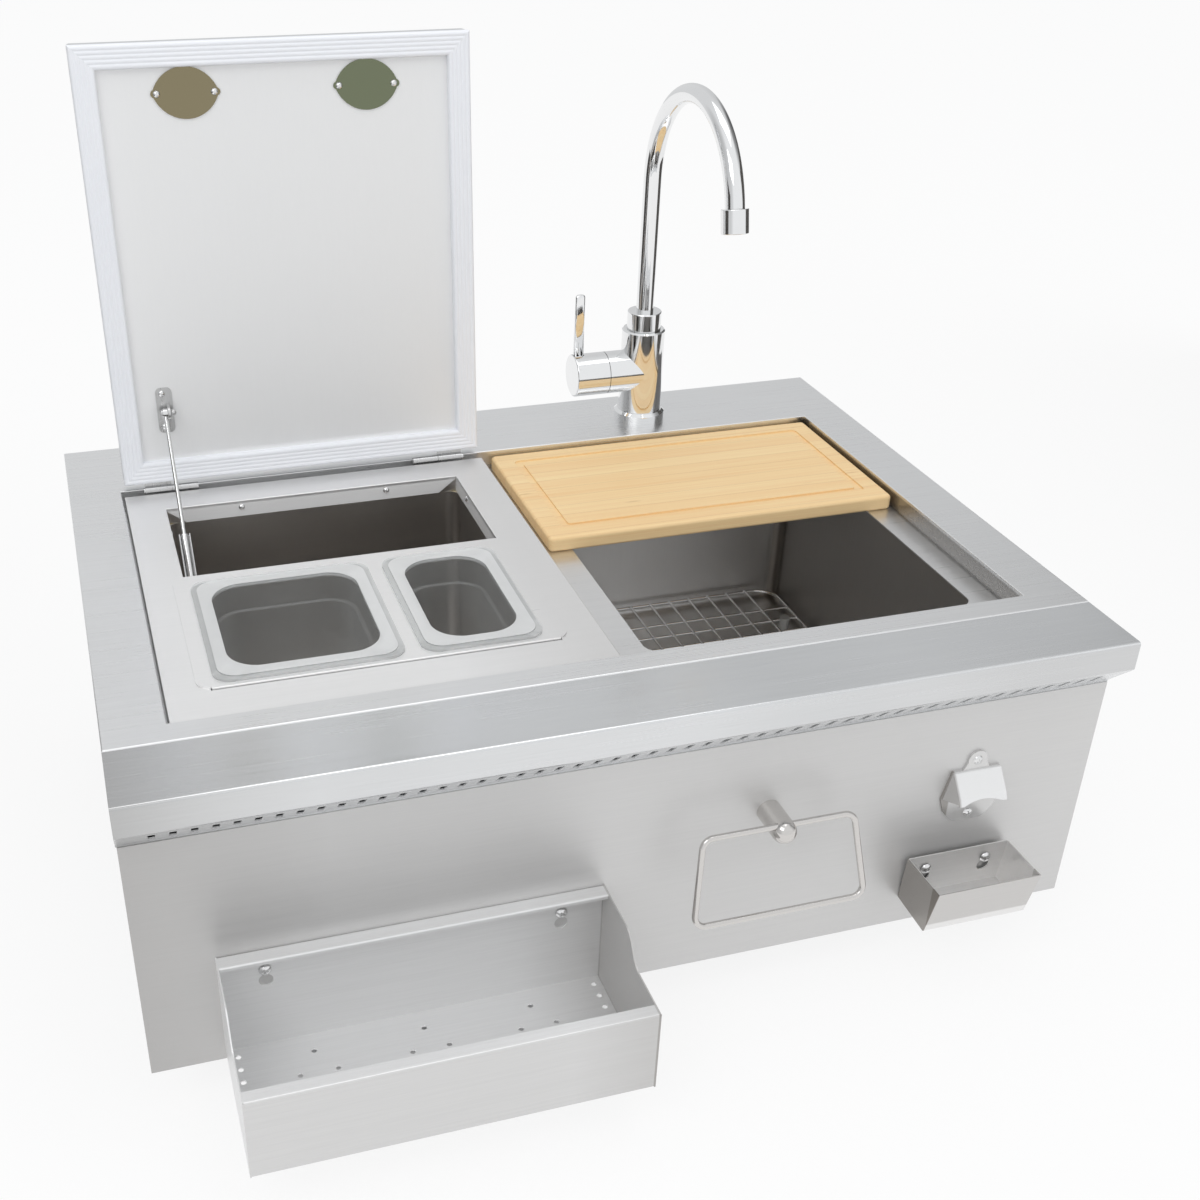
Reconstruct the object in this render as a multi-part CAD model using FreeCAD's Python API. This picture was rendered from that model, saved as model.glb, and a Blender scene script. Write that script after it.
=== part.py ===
import FreeCAD, Part
import math
import os

# Built-in bar sink with an insulated ice bin, hung in a counter by its raised flange.
# Millimetres. X runs left to right as seen from the bar side, Y from front to back, Z up.
# Origin: mid-width, where the countertop plane (Z = 0) meets the cabinet's front face (Y = 0).

V = FreeCAD.Vector
os.makedirs("parts", exist_ok=True)

# ---------------------------------------------------------------- driving dimensions

SHEET = 1.2                 # stainless sheet of the visible panels
LINER_SHEET = 1.0           # sheet of the tub, the jacket and the lid liner
BEND_R = 1.6                # inside radius of a visible bend
WELD_GAP = 0.3              # gap between pieces that lie against each other on curves
SLIDE_GAP = 0.5             # gap beside a loose piece in its seat

# top frame
FRAME_WIDTH = 863.6
FRAME_DEPTH = 577.1
FRAME_RISE = 14.0           # frame's top above the countertop
REST_FLANGE = 12.0          # inward return that lies on the countertop
BORDER_SIDE = 51.0
BORDER_FRONT = 25.4
BORDER_REAR = 113.7
SKIRT_DROP = 17.5           # recess wall, down from the frame's top
FRONT_BEND_SETBACK = 46.6   # front bend of the frame, behind the cabinet face

# bar nose and front panel
NOSE_REACH = 27.8           # nose front, ahead of the cabinet face
NOSE_FACE = 27.0            # height of the nose's upright face
NOSE_STEP = 0.9             # nose top below the frame top
NOSE_CHAMFER_DROP = 27.0    # slotted strip, height it drops
NOSE_TAIL = 18.0            # hidden tail behind the front panel
SLOT_PITCH = 15.875
SLOT_WIDTH = 5.6
SLOT_LENGTH = 19.0
SLOT_END_MARGIN = 18.0
PANEL_HEIGHT = 238.0
PANEL_INSET = 1.0           # each end, against the nose
PANEL_RETURN = 12.0

# housing below the counter
HOUSING_INSET_SIDE = 22.0
HOUSING_INSET_REAR = 22.0
HOUSING_BOTTOM = -272.0
HOUSING_FLANGE = 10.0
TRAY_EDGE = 12.8            # upturned sides of the bottom tray
TRAY_HOLE_CLEAR = 6.0       # around the drains

# recess floor and sink
RECESS_DROP = 20.0          # recess floor below the frame top
DECK_LIP = 9.0              # upturned edge outside the skirt
BOWL_DEEP = 192.0
BOWL_EDGE_RIGHT = 29.0      # ledge between the bowl and the recess wall
BOWL_EDGE_FRONT = 28.6
BOWL_EDGE_LEFT = 23.9       # bowl from the board's left end
BOWL_EDGE_REAR = 26.4
BOWL_CORNER_R = 13.0
BOWL_FLOOR_R = 9.0
BOWL_WELD_FLANGE = 9.0

# ice bin
PLATE_RISE = 17.0           # bin plate's top above the recess floor
PLATE_SPARE = 2.65          # bin plate wider, board narrower, than half of the recess
PLATE_TO_BOARD = 11.3
PLATE_GAP_REAR = 7.9
PLATE_GAP = 2.5             # shadow gap to the recess wall, left and front
PLATE_MITRE = 20.0          # turned-down edge, trimmed at both ends by this much
BIN_EDGE_LEFT = 37.5        # plate border beside the opening
BIN_EDGE_RIGHT = 38.8
BIN_EDGE_FRONT = 40.6
BIN_EDGE_REAR = 38.5
BIN_DEEP = 226.0
BIN_CORNER_R = 14.0
FOAM_THICK = 22.0
TUB_FLANGE = 9.0
JACKET_FLANGE = 8.0

# drains
SINK_DRAIN_HOLE_R = 44.5
STRAINER_FLANGE_R = 56.0
STRAINER_BODY_R = 43.0
STRAINER_DEEP = 46.0
STRAINER_WALL = 2.0
STRAINER_NUT_REACH = 12.0   # beyond the body
STRAINER_NUT_WALL = 7.0
STRAINER_NUT_HEIGHT = 14.0
STRAINER_NUT_LIP = 3.0
STRAINER_NUT_LUG = 8.0
STRAINER_NUT_RUN = 0.2
TAIL_R = 19.05
TAIL_WALL = 1.5
TAIL_LENGTH = 60.0
TAIL_NUT_R = 28.0
TAIL_NUT_RIB = 1.6
BIN_DRAIN_R = 10.5
BIN_DRAIN_BORE_R = 7.0
BIN_DRAIN_FLANGE_R = 19.0
BIN_DRAIN_LENGTH = 56.0
BIN_SPIGOT_R = 9.5          # hose spigot below the housing
BIN_SPIGOT_LENGTH = 22.0
BIN_NUT_R = 16.0
BIN_NUT_HEIGHT = 8.0

# lid (drawn closed, then turned open)
LID_SKIN_DEEP = 16.0
LID_OPEN_ANGLE = 94.0
LID_EDGE_LEFT = 4.3         # from the recess wall
LID_EDGE_RIGHT = 3.5        # from the bin plate's edge
LID_EDGE_FRONT = 13.5       # from the recess wall
LID_HINGE_GAP = 7.5         # hinge axis to the lid's rear edge
GASKET_WIDTH = 21.5
GASKET_THICK = 8.0
GASKET_GROOVES = 4
GASKET_GROOVE_W = 1.2
GASKET_GROOVE_DEEP = 0.7
GASKET_SEAT_GAP = 0.3       # gasket above the bin plate when closed
CUP_R = 24.0
CUP_DEEP = 12.0
CUP_SPACING = 169.0
CUP_FROM_FRONT = 44.3
CUP_PLATE_WIDTH = 63.5
CUP_PLATE_HEIGHT = 45.5
CUP_SCREW_SPACING = 52.6
CUP_PLATE_THICK = 1.5

# lid hinges
BARREL_R = 3.5
HINGE_PIN_R = 1.5
HINGE_RUN = 0.05            # radial running clearance on the pin
KNUCKLE = 26.6
KNUCKLE_GAP = 0.4
LEAF_THICK = 1.5
LEAF_DROP = 14.0
HINGE_LEFT = 75.0           # from the frame's left edge to the first knuckle
HINGE_RIGHT = 70.8          # from the lid's right edge back to the second one

# lid stay
STAY_FROM_EDGE = 47.9       # stay, from the lid's left edge
STAY_FROM_HINGE = 80.5      # stay pin along the lid, from the hinge axis
STAY_STANDOFF = 11.0        # stay pin off the lid liner
STAY_OPEN_LENGTH = 300.0
STAY_OPEN_SLOPE = 47.8      # degrees above level when the lid is open
STAY_TUBE_LENGTH = 174.0
STAY_TUBE_R = 3.7
STAY_TUBE_WALL = 0.8
STAY_CHANNEL_HALF = 5.5
STAY_CHANNEL_DEEP = 8.0
STAY_CHANNEL_SHEET = 1.0
STAY_ROD_R = 2.0
STAY_RUN = 0.1
STAY_ROD_INSIDE = 34.0      # rod left in the tube when open
STAY_PIN_R = 2.0
STAY_EYE_R = 4.6
STAY_EYE_THICK = 4.4

# garnish pans and their holder
HOLDER_DEPTH = 196.5
HOLDER_TAB_LEFT = 11.0      # holder's overlap on the plate
HOLDER_TAB_RIGHT = 8.0
HOLDER_TAB_SETBACK = 1.5    # tabs start behind the front lip
HOLDER_TAB_R = 12.0
HOLDER_LIP = 14.0
PAN_RIM_DEPTH = 176.0
PAN_SHARE = 0.6             # large pan's part of the width that both take
PAN_EDGE_LEFT = 3.2
PAN_BETWEEN = 13.5
PAN_EDGE_RIGHT = 11.8
PAN_DEEP = 100.0
PAN_RIM = 13.3              # rim width outside the body
PAN_RIM_THICK = 2.0
PAN_RIM_R = 16.0
PAN_MOUTH_R = 28.0
PAN_BEAD_INSET = 4.8
PAN_BEAD = 3.0              # raised rim bead above the holder
PAN_WALL = 2.2
PAN_DRAFT = 7.0
PAN_STEP_DROP = 26.0        # stacking shoulder below the rim
PAN_STEP_IN = 4.0
PAN_FRONT_MARGIN = 5.0      # pan rim behind the holder's front edge

# cutting board
BOARD_DEPTH = 205.5
BOARD_THICK = 15.5
BOARD_EDGE_R = 3.5
BOARD_CORNER_R = 5.0
BOARD_GAP = 3.5             # to the recess walls at the right and rear
GROOVE_INSET = 20.0
GROOVE_WIDTH = 8.0
GROOVE_DEEP = 1.6

# sink grid
GRID_RIM_R = 2.0
GRID_WIRE_R = 1.5
GRID_WIRE_STOP = 0.8        # wires stop short of the rim wire's centre line
GRID_CROSS_DROP = 0.2       # cross wires below the rim wire's centre line
GRID_MARGIN = 7.5
GRID_HEIGHT = 12.0          # wire centres above the bowl floor
GRID_CORNER_R = 26.0
GRID_LONG_PITCH = 23.8
GRID_LONG_WIRES = 11
GRID_CROSS_PITCH = 25.0
GRID_CROSS_WIRES = 12
GRID_FOOT_R = 6.0
GRID_FOOT_INSET = 16.0      # feet from the rim wire, on the cross wires

# faucet
FAUCET_FROM_BOWL = 5.95     # right of the bowl's centre
FAUCET_FROM_REAR = 64.6
FAUCET_FLANGE_R = 28.0
FAUCET_FLANGE_H = 12.0
FAUCET_BODY_R = 23.6
FAUCET_BODY_TOP = 103.5      # above the frame top
FAUCET_SHANK_R = 16.0
FAUCET_HOLE_CLEAR = 1.2
COLLAR_R = 18.6
COLLAR_H = 19.5
SPOUT_R = 9.4
SPOUT_WALL = 1.5
SPOUT_STRAIGHT = 263.4      # straight part's top above the frame top
SPOUT_BEND_R = 103.0
SPOUT_BEND_ANGLE = 168.0
SPOUT_RUN = 0.08
AERATOR_R = 13.2
AERATOR_H = 22.5
HUB_HEIGHT = 56.4           # lever hub axis above the frame top
HUB_R = 23.0
HUB_SPLIT = 43.8            # cap joint from the faucet axis
CAP_LENGTH = 37.0
CAP_RUN = 0.6               # gap at the cap joint
CAP_BORE_R = 12.0           # room for the stem as the handle tilts
CAP_BORE_DEEP = 14.0
STEM_R = 5.0
STEM_REACH = 10.0
CARTRIDGE_R = 17.5
LEVER_WIDTH = 11.5
LEVER_THICK = 6.5
LEVER_HEIGHT = 67.0
LEVER_FROM_END = 0.6

# towel ring
RING_FROM_RIGHT = 321.8
RING_POST_Z = -118.0
RING_POST_R = 11.0
RING_ABOVE_POST = 6.0       # ring wire above the post axis
RING_POST_REACH = 31.4      # post end centre ahead of the cabinet face
RING_WIRE_R = 2.8
RING_TOP_WIDTH = 139.0
RING_BOTTOM_WIDTH = 160.0
RING_SIDE = 80.0
RING_TILT = 13.9            # degrees forward of hanging straight
RING_OFFSET = -4.5          # ring centre beside the post
RING_TOP_CORNER_R = 11.5
RING_BOTTOM_CORNER_R = 9.0
RING_RUN = 0.1

# bottle opener
OPENER_FROM_RIGHT = 120.8
OPENER_TOP_SCREW_Z = -102.4
OPENER_SCREW_DROP = 57.5
OPENER_WIDTH = 47.5
OPENER_BASE_THICK = 2.2
OPENER_EAR_R = 9.5
OPENER_BULGE = 7.0          # base is this much wider than the hood at its middle
OPENER_HOOD_REACH = 22.0
OPENER_HOOD_TOP = 9.0       # below the top screw
OPENER_HOOD_DROP = 25.0
OPENER_BOTTOM = 7.5         # base below the lower screw
OPENER_WALL = 2.4

# cap catcher
CATCHER_FROM_RIGHT = 124.2
CATCHER_WIDTH = 104.0
CATCHER_DEPTH = 54.0
CATCHER_HEIGHT = 48.0
CATCHER_FOOT_DEPTH = 46.8   # floor, front to back
CATCHER_FLOOR_FALL = 3.2    # floor drops towards the front
CATCHER_LEAN = 5.0          # top of the back wall stands off the panel
CATCHER_TOP_Z = -199.8
CATCHER_SCREW_SPACING = 62.0
CATCHER_SCREW_DROP = 15.7
CATCHER_SHEET = 1.2

# speed rail
RAIL_EDGE_LEFT = 9.5        # inside the bin plate's left edge
RAIL_EDGE_RIGHT = 34.3
RAIL_DEPTH = 135.7
RAIL_TOP_Z = -166.5
RAIL_BACK_HEIGHT = 104.0
RAIL_FRONT_HEIGHT = 80.0
RAIL_TOP_FLANGE = 14.5
RAIL_TOP_HEM = 4.0
RAIL_FRONT_LIP = 12.0
RAIL_CURVE_START = 52.0     # side's S curve, from the back plate
RAIL_CURVE_END = 90.0
RAIL_SCREW_SPACING = 254.0
RAIL_SCREW_DROP = 21.5
RAIL_HOLE_R = 2.4
RAIL_END_MARGIN = 9.0       # hole column from the rail's end
RAIL_COLUMN_HOLES = 8
RAIL_FIRST_ROW = 10.8
RAIL_ROW_PITCH = 14.4
RAIL_DIAMOND_PITCH = 94.7
RAIL_DIAMOND_LEAD = 9.8
RAIL_DIAMOND_HALF = 15.8
RAIL_DIAMOND_DEEP = 24.1

# screws
SCREW_HEAD_R = 4.6
SCREW_HEAD_H = 2.6
SCREW_SHANK_R = 2.1
SCREW_SHANK = 7.0
HANG_SCREW_R = 5.4
SMALL_SCREW_R = 3.2
KEYHOLE_CLEAR = 0.6

# ---------------------------------------------------------------- places worked out once

HALF_W = FRAME_WIDTH / 2
TOP = FRAME_RISE
FRAME_FRONT = FRONT_BEND_SETBACK
FRAME_REAR = FRAME_FRONT + FRAME_DEPTH
REC_L = -HALF_W + BORDER_SIDE
REC_R = HALF_W - BORDER_SIDE
REC_F = FRAME_FRONT + BORDER_FRONT
REC_B = FRAME_REAR - BORDER_REAR
DECK_TOP = TOP - RECESS_DROP
PLATE_TOP = DECK_TOP + PLATE_RISE
PLATE_L = REC_L + PLATE_GAP
HALF_RECESS = (REC_R - REC_L - PLATE_GAP - PLATE_TO_BOARD - BOARD_GAP) / 2
PLATE_R = PLATE_L + HALF_RECESS + PLATE_SPARE
BOARD_WIDTH = HALF_RECESS - PLATE_SPARE
PLATE_F = REC_F + PLATE_GAP
PLATE_B = REC_B - PLATE_GAP_REAR
BIN_L = PLATE_L + BIN_EDGE_LEFT
BIN_R = PLATE_R - BIN_EDGE_RIGHT
BIN_F = PLATE_F + BIN_EDGE_FRONT
BIN_B = PLATE_B - BIN_EDGE_REAR
BIN_WIDTH = BIN_R - BIN_L
BIN_DEPTH_Y = BIN_B - BIN_F
BOWL_R_X = REC_R - BOWL_EDGE_RIGHT
BOWL_L_X = PLATE_R + PLATE_TO_BOARD + BOWL_EDGE_LEFT
BOWL_B_Y = REC_B - BOWL_EDGE_REAR
BOWL_F_Y = REC_F + BOWL_EDGE_FRONT
BOWL_FLOOR = DECK_TOP - BOWL_DEEP
BOWL_CX = (BOWL_L_X + BOWL_R_X) / 2
BOWL_CY = (BOWL_F_Y + BOWL_B_Y) / 2
TUB_FLOOR = PLATE_TOP - BIN_DEEP
BIN_CX = (BIN_L + BIN_R) / 2
BIN_CY = (BIN_F + BIN_B) / 2
NOSE_FRONT_Y = -NOSE_REACH
NOSE_TOP_Z = TOP - NOSE_STEP
NOSE_LOW_Z = NOSE_TOP_Z - NOSE_FACE
PANEL_TOP_Z = NOSE_LOW_Z - NOSE_CHAMFER_DROP
PANEL_BOTTOM_Z = PANEL_TOP_Z - PANEL_HEIGHT
PANEL_FACE = -SHEET
HOUSE_X = HALF_W - HOUSING_INSET_SIDE
HOUSE_B = FRAME_REAR - HOUSING_INSET_REAR
HINGE_Y = REC_B - BARREL_R
HINGE_Z = PLATE_TOP + 2.6
LID_L = REC_L + LID_EDGE_LEFT
LID_R = PLATE_R - LID_EDGE_RIGHT
LID_B = HINGE_Y - LID_HINGE_GAP
LID_F = REC_F + LID_EDGE_FRONT
GASKET_Z = PLATE_TOP + GASKET_SEAT_GAP
LINER_Z = GASKET_Z + GASKET_THICK
FAUCET_Y = FRAME_REAR - FAUCET_FROM_REAR
HUB_Z = TOP + HUB_HEIGHT
HOLDER_F = BIN_F + SLIDE_GAP + 0.4
HOLDER_TOP = PLATE_TOP + SHEET
PAN_F = HOLDER_F + PAN_FRONT_MARGIN
PAN_CY = PAN_F + PAN_RIM_DEPTH / 2
PAN_WIDTHS = BIN_WIDTH - PAN_EDGE_LEFT - PAN_BETWEEN - PAN_EDGE_RIGHT
PAN_LARGE_WIDTH = PAN_WIDTHS * PAN_SHARE
PAN_SMALL_WIDTH = PAN_WIDTHS - PAN_LARGE_WIDTH
PAN_LARGE_X = BIN_L + PAN_EDGE_LEFT + PAN_LARGE_WIDTH / 2
PAN_SMALL_X = BIN_R - PAN_EDGE_RIGHT - PAN_SMALL_WIDTH / 2
STAY_X = LID_L + STAY_FROM_EDGE
FAUCET_X = BOWL_CX + FAUCET_FROM_BOWL
RING_POST_X = HALF_W - RING_FROM_RIGHT
OPENER_X = HALF_W - OPENER_FROM_RIGHT
CATCHER_X = HALF_W - CATCHER_FROM_RIGHT
RAIL_L = PLATE_L + RAIL_EDGE_LEFT
RAIL_R = PLATE_R - RAIL_EDGE_RIGHT
RAIL_X = (RAIL_L + RAIL_R) / 2
RAIL_WIDTH = RAIL_R - RAIL_L

SOLIDS = {}


# ---------------------------------------------------------------- helpers

def block(x0, x1, y0, y1, z0, z1):
    """Axis-aligned box between two corners."""
    return Part.makeBox(x1 - x0, y1 - y0, z1 - z0, V(x0, y0, z0))


def rod(start, end, radius):
    """Cylinder from one point to another."""
    axis = end - start
    return Part.makeCylinder(radius, axis.Length, start, axis)


def pipe(start, end, outer, inner):
    """Hollow cylinder between two points."""
    reach = (end - start).normalize() * 1.0
    return rod(start, end, outer).cut(rod(start - reach, end + reach, inner))


def fuse(shapes):
    """One solid from pieces that touch or overlap."""
    whole = shapes[0].fuse(shapes[1:]) if len(shapes) > 1 else shapes[0]
    return whole.removeSplitter()


def rounded_loop(x0, x1, y0, y1, z, radius):
    """Closed wire of a rectangle with round corners, at height z."""
    if radius <= 0:
        corners = [V(x0, y0, z), V(x1, y0, z), V(x1, y1, z), V(x0, y1, z), V(x0, y0, z)]
        return Part.makePolygon(corners)
    diag = radius * (1 - math.sqrt(0.5))
    r = radius
    edges = [
        Part.LineSegment(V(x0 + r, y0, z), V(x1 - r, y0, z)).toShape(),
        Part.Arc(V(x1 - r, y0, z), V(x1 - diag, y0 + diag, z), V(x1, y0 + r, z)).toShape(),
        Part.LineSegment(V(x1, y0 + r, z), V(x1, y1 - r, z)).toShape(),
        Part.Arc(V(x1, y1 - r, z), V(x1 - diag, y1 - diag, z), V(x1 - r, y1, z)).toShape(),
        Part.LineSegment(V(x1 - r, y1, z), V(x0 + r, y1, z)).toShape(),
        Part.Arc(V(x0 + r, y1, z), V(x0 + diag, y1 - diag, z), V(x0, y1 - r, z)).toShape(),
        Part.LineSegment(V(x0, y1 - r, z), V(x0, y0 + r, z)).toShape(),
        Part.Arc(V(x0, y0 + r, z), V(x0 + diag, y0 + diag, z), V(x0 + r, y0, z)).toShape(),
    ]
    return Part.Wire(edges)


def rounded_block(x0, x1, y0, y1, z0, z1, radius):
    """Upright block whose four standing edges are round."""
    face = Part.Face(rounded_loop(x0, x1, y0, y1, z0, radius))
    return face.extrude(V(0, 0, z1 - z0))


def tapered_block(x0, x1, y0, y1, z0, z1, radius, inset):
    """Upright block that is smaller by inset on every side at its lower end z0."""
    low = rounded_loop(x0 + inset, x1 - inset, y0 + inset, y1 - inset, z0, radius)
    high = rounded_loop(x0, x1, y0, y1, z1, radius)
    return Part.makeLoft([low, high], True, True)


def bent_outline(points, thick, radius):
    """Closed outline of a folded sheet: its near side runs along points, bends are round."""
    count = len(points)
    normals = []
    for a, b in zip(points, points[1:]):
        length = math.hypot(b[0] - a[0], b[1] - a[1])
        normals.append((-(b[1] - a[1]) / length, (b[0] - a[0]) / length))
    far = []
    for i in range(count):
        n0 = normals[max(i - 1, 0)]
        n1 = normals[min(i, count - 2)]
        scale = thick / (1 + n0[0] * n1[0] + n0[1] * n1[1])
        far.append((points[i][0] + (n0[0] + n1[0]) * scale, points[i][1] + (n0[1] + n1[1]) * scale))
    turns = []
    for i in range(1, count - 1):
        n0, n1 = normals[i - 1], normals[i]
        turns.append(n0[0] * n1[1] - n0[1] * n1[0])
    near_r = [0.0] + [radius if t > 0 else radius + thick for t in turns] + [0.0]
    far_r = [0.0] + [radius + thick if t > 0 else radius for t in turns] + [0.0]
    # the far side of a left turn is the inner one
    near_r, far_r = far_r, near_r
    loop = [(p, r) for p, r in zip(points, near_r)]
    loop += [(p, r) for p, r in zip(reversed(far), reversed(far_r))]
    return loop


def loop_edges(loop, place):
    """Edges of a closed 2-D outline with a radius at each corner; place maps it to 3-D."""
    count = len(loop)
    starts, ends, mids = [], [], []
    for i in range(count):
        p, r = loop[i]
        a, b = loop[i - 1][0], loop[(i + 1) % count][0]
        ua = (a[0] - p[0], a[1] - p[1])
        ub = (b[0] - p[0], b[1] - p[1])
        la, lb = math.hypot(*ua), math.hypot(*ub)
        ua, ub = (ua[0] / la, ua[1] / la), (ub[0] / lb, ub[1] / lb)
        cosine = max(-1.0, min(1.0, ua[0] * ub[0] + ua[1] * ub[1]))
        half = math.acos(cosine) / 2
        if r <= 0 or abs(math.pi / 2 - half) < 1e-6:
            starts.append(p)
            ends.append(p)
            mids.append(None)
            continue
        cut = r / math.tan(half)
        starts.append((p[0] + ua[0] * cut, p[1] + ua[1] * cut))
        ends.append((p[0] + ub[0] * cut, p[1] + ub[1] * cut))
        mid = (ua[0] + ub[0], ua[1] + ub[1])
        size = math.hypot(*mid)
        reach = r / math.sin(half) - r
        mids.append((p[0] + mid[0] / size * reach, p[1] + mid[1] / size * reach))
    edges = []
    for i in range(count):
        if mids[i] is not None:
            edges.append(Part.Arc(place(*starts[i]), place(*mids[i]), place(*ends[i])).toShape())
        a, b = ends[i], starts[(i + 1) % count]
        if math.hypot(a[0] - b[0], a[1] - b[1]) > 1e-6:
            edges.append(Part.LineSegment(place(*a), place(*b)).toShape())
    return edges


def folded_x(points, thick, radius, x0, x1):
    """Folded sheet: (y, z) points extruded along X."""
    edges = loop_edges(bent_outline(points, thick, radius), lambda y, z: V(x0, y, z))
    return Part.Face(Part.Wire(edges)).extrude(V(x1 - x0, 0, 0))


def profile_x(loop, x0, x1):
    """Solid (y, z) outline with corner radii, extruded along X."""
    edges = loop_edges(loop, lambda y, z: V(x0, y, z))
    return Part.Face(Part.Wire(edges)).extrude(V(x1 - x0, 0, 0))


def profile_y(loop, y0, y1):
    """Solid (x, z) outline with corner radii, extruded along Y."""
    edges = loop_edges(loop, lambda x, z: V(x, y0, z))
    return Part.Face(Part.Wire(edges)).extrude(V(0, y1 - y0, 0))


def turned(outline, centre, axis=None):
    """Solid of revolution: (radius, height) points turned about Z through centre."""
    points = [V(centre.x + r, centre.y, centre.z + h) for r, h in outline]
    face = Part.Face(Part.makePolygon(points + [points[0]]))
    return face.revolve(centre, V(0, 0, 1), 360)


def pick_edges(shape, test):
    """Edges of a shape whose middle point passes the test."""
    chosen = []
    for edge in shape.Edges:
        middle = edge.valueAt((edge.FirstParameter + edge.LastParameter) / 2)
        if test(edge, middle):
            chosen.append(edge)
    return chosen


def soften(shape, radius, test):
    """Round the chosen edges."""
    return shape.makeFillet(radius, pick_edges(shape, test))


def near(value, target, slack=0.01):
    return abs(value - target) < slack


def along(edge, direction):
    """True for a straight edge that runs along the direction."""
    if edge.Curve.TypeId != "Part::GeomLine":
        return False
    return abs(abs(edge.tangentAt(edge.FirstParameter).dot(direction)) - 1) < 1e-6


def pan_head_screw(seat, outward, head_r=SCREW_HEAD_R, shank=SCREW_SHANK):
    """Pan-head screw: seat is under its head, outward points out of the head."""
    lift = SCREW_HEAD_H * head_r / SCREW_HEAD_R
    dome_r = (head_r ** 2 + lift ** 2) / (2 * lift)
    ball = Part.makeSphere(dome_r, V(0, 0, lift - dome_r))
    head = ball.common(Part.makeCylinder(head_r, lift + 1, V(0, 0, 0)))
    slot_w, slot_l = head_r * 0.22, head_r * 1.1
    for spin in (0, 90):
        slot = Part.makeBox(slot_l, slot_w, lift, V(-slot_l / 2, -slot_w / 2, lift * 0.55))
        slot.rotate(V(0, 0, 0), V(0, 0, 1), spin + 20)
        head = head.cut(slot)
    stem = Part.makeCylinder(SCREW_SHANK_R * head_r / SCREW_HEAD_R, shank, V(0, 0, -shank))
    screw = head.fuse(stem).removeSplitter()
    turn = FreeCAD.Rotation(V(0, 0, 1), outward)
    screw.Placement = FreeCAD.Placement(seat, turn)
    return screw


def shank_r(head_r=SCREW_HEAD_R):
    """Shank radius that goes with a head radius."""
    return SCREW_SHANK_R * head_r / SCREW_HEAD_R


def screw_hole(seat, outward, head_r=SCREW_HEAD_R, clearance=0.0, deep=SCREW_SHANK + 1):
    """Tool that cuts the hole for a screw's shank."""
    start = seat + outward * 2
    return rod(start, seat - outward * deep, shank_r(head_r) + clearance)


def add(name, shape):
    """File a finished node."""
    SOLIDS[name] = shape


# ---------------------------------------------------------------- top frame, nose, front panel

def faucet_axis(z):
    return V(FAUCET_X, FAUCET_Y, z)


def top_frame():
    outer = block(-HALF_W, HALF_W, FRAME_FRONT, FRAME_REAR, 0, TOP)
    outer = soften(outer, BEND_R, lambda e, m: near(m.z, TOP))
    cavity = block(-HALF_W + SHEET, HALF_W - SHEET, FRAME_FRONT + SHEET, FRAME_REAR - SHEET,
                   SHEET, TOP - SHEET)
    mouth = block(-HALF_W + REST_FLANGE, HALF_W - REST_FLANGE, FRAME_FRONT - 1,
                  FRAME_REAR - REST_FLANGE, -1, SHEET + 1)
    frame = outer.cut(cavity).cut(mouth)
    skirt = block(REC_L - SHEET, REC_R + SHEET, REC_F - SHEET, REC_B + SHEET, TOP - SKIRT_DROP, TOP)
    frame = frame.fuse(skirt)
    frame = frame.cut(block(REC_L, REC_R, REC_F, REC_B, TOP - SKIRT_DROP - 1, TOP + 1))
    frame = frame.removeSplitter()
    frame = soften(frame, BEND_R * 0.6, lambda e, m: near(m.z, TOP) and (
        near(m.x, REC_L) or near(m.x, REC_R) or near(m.y, REC_F) or near(m.y, REC_B)))
    hole = rod(faucet_axis(0), faucet_axis(TOP + 1), FAUCET_SHANK_R + FAUCET_HOLE_CLEAR)
    return frame.cut(hole)


def slot_places():
    """X centres of the vent slots, evenly spaced about the middle."""
    span = FRAME_WIDTH - 2 * SLOT_END_MARGIN
    count = int(span // SLOT_PITCH)
    return [(i - (count - 1) / 2) * SLOT_PITCH for i in range(count)]


def front_nose():
    path = [
        (FRAME_FRONT, NOSE_TOP_Z),
        (NOSE_FRONT_Y, NOSE_TOP_Z),
        (NOSE_FRONT_Y, NOSE_LOW_Z),
        (0.0, PANEL_TOP_Z),
        (0.0, PANEL_TOP_Z - NOSE_TAIL),
    ]
    nose = folded_x(path, SHEET, BEND_R, -HALF_W, HALF_W)
    for side in (-1, 1):
        ends = sorted((side * HOUSE_X, side * (HALF_W + 1)))
        nose = nose.cut(block(ends[0], ends[1], -SHEET / 2, SHEET + 1,
                              PANEL_TOP_Z - NOSE_TAIL - 1, PANEL_TOP_Z - SHEET))
    fall = V(0, -NOSE_FRONT_Y, PANEL_TOP_Z - NOSE_LOW_Z).normalize()
    middle = V(0, NOSE_FRONT_Y / 2, (NOSE_LOW_Z + PANEL_TOP_Z) / 2)
    slots = []
    for x in slot_places():
        cutter = Part.makeBox(SLOT_WIDTH, SLOT_LENGTH, 8, V(-SLOT_WIDTH / 2, -SLOT_LENGTH / 2, -4))
        tilt = math.degrees(math.atan2(fall.z, fall.y))
        cutter.rotate(V(0, 0, 0), V(1, 0, 0), tilt)
        cutter.translate(V(x, middle.y, middle.z))
        slots.append(cutter)
    return nose.cut(Part.makeCompound(slots))


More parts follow.
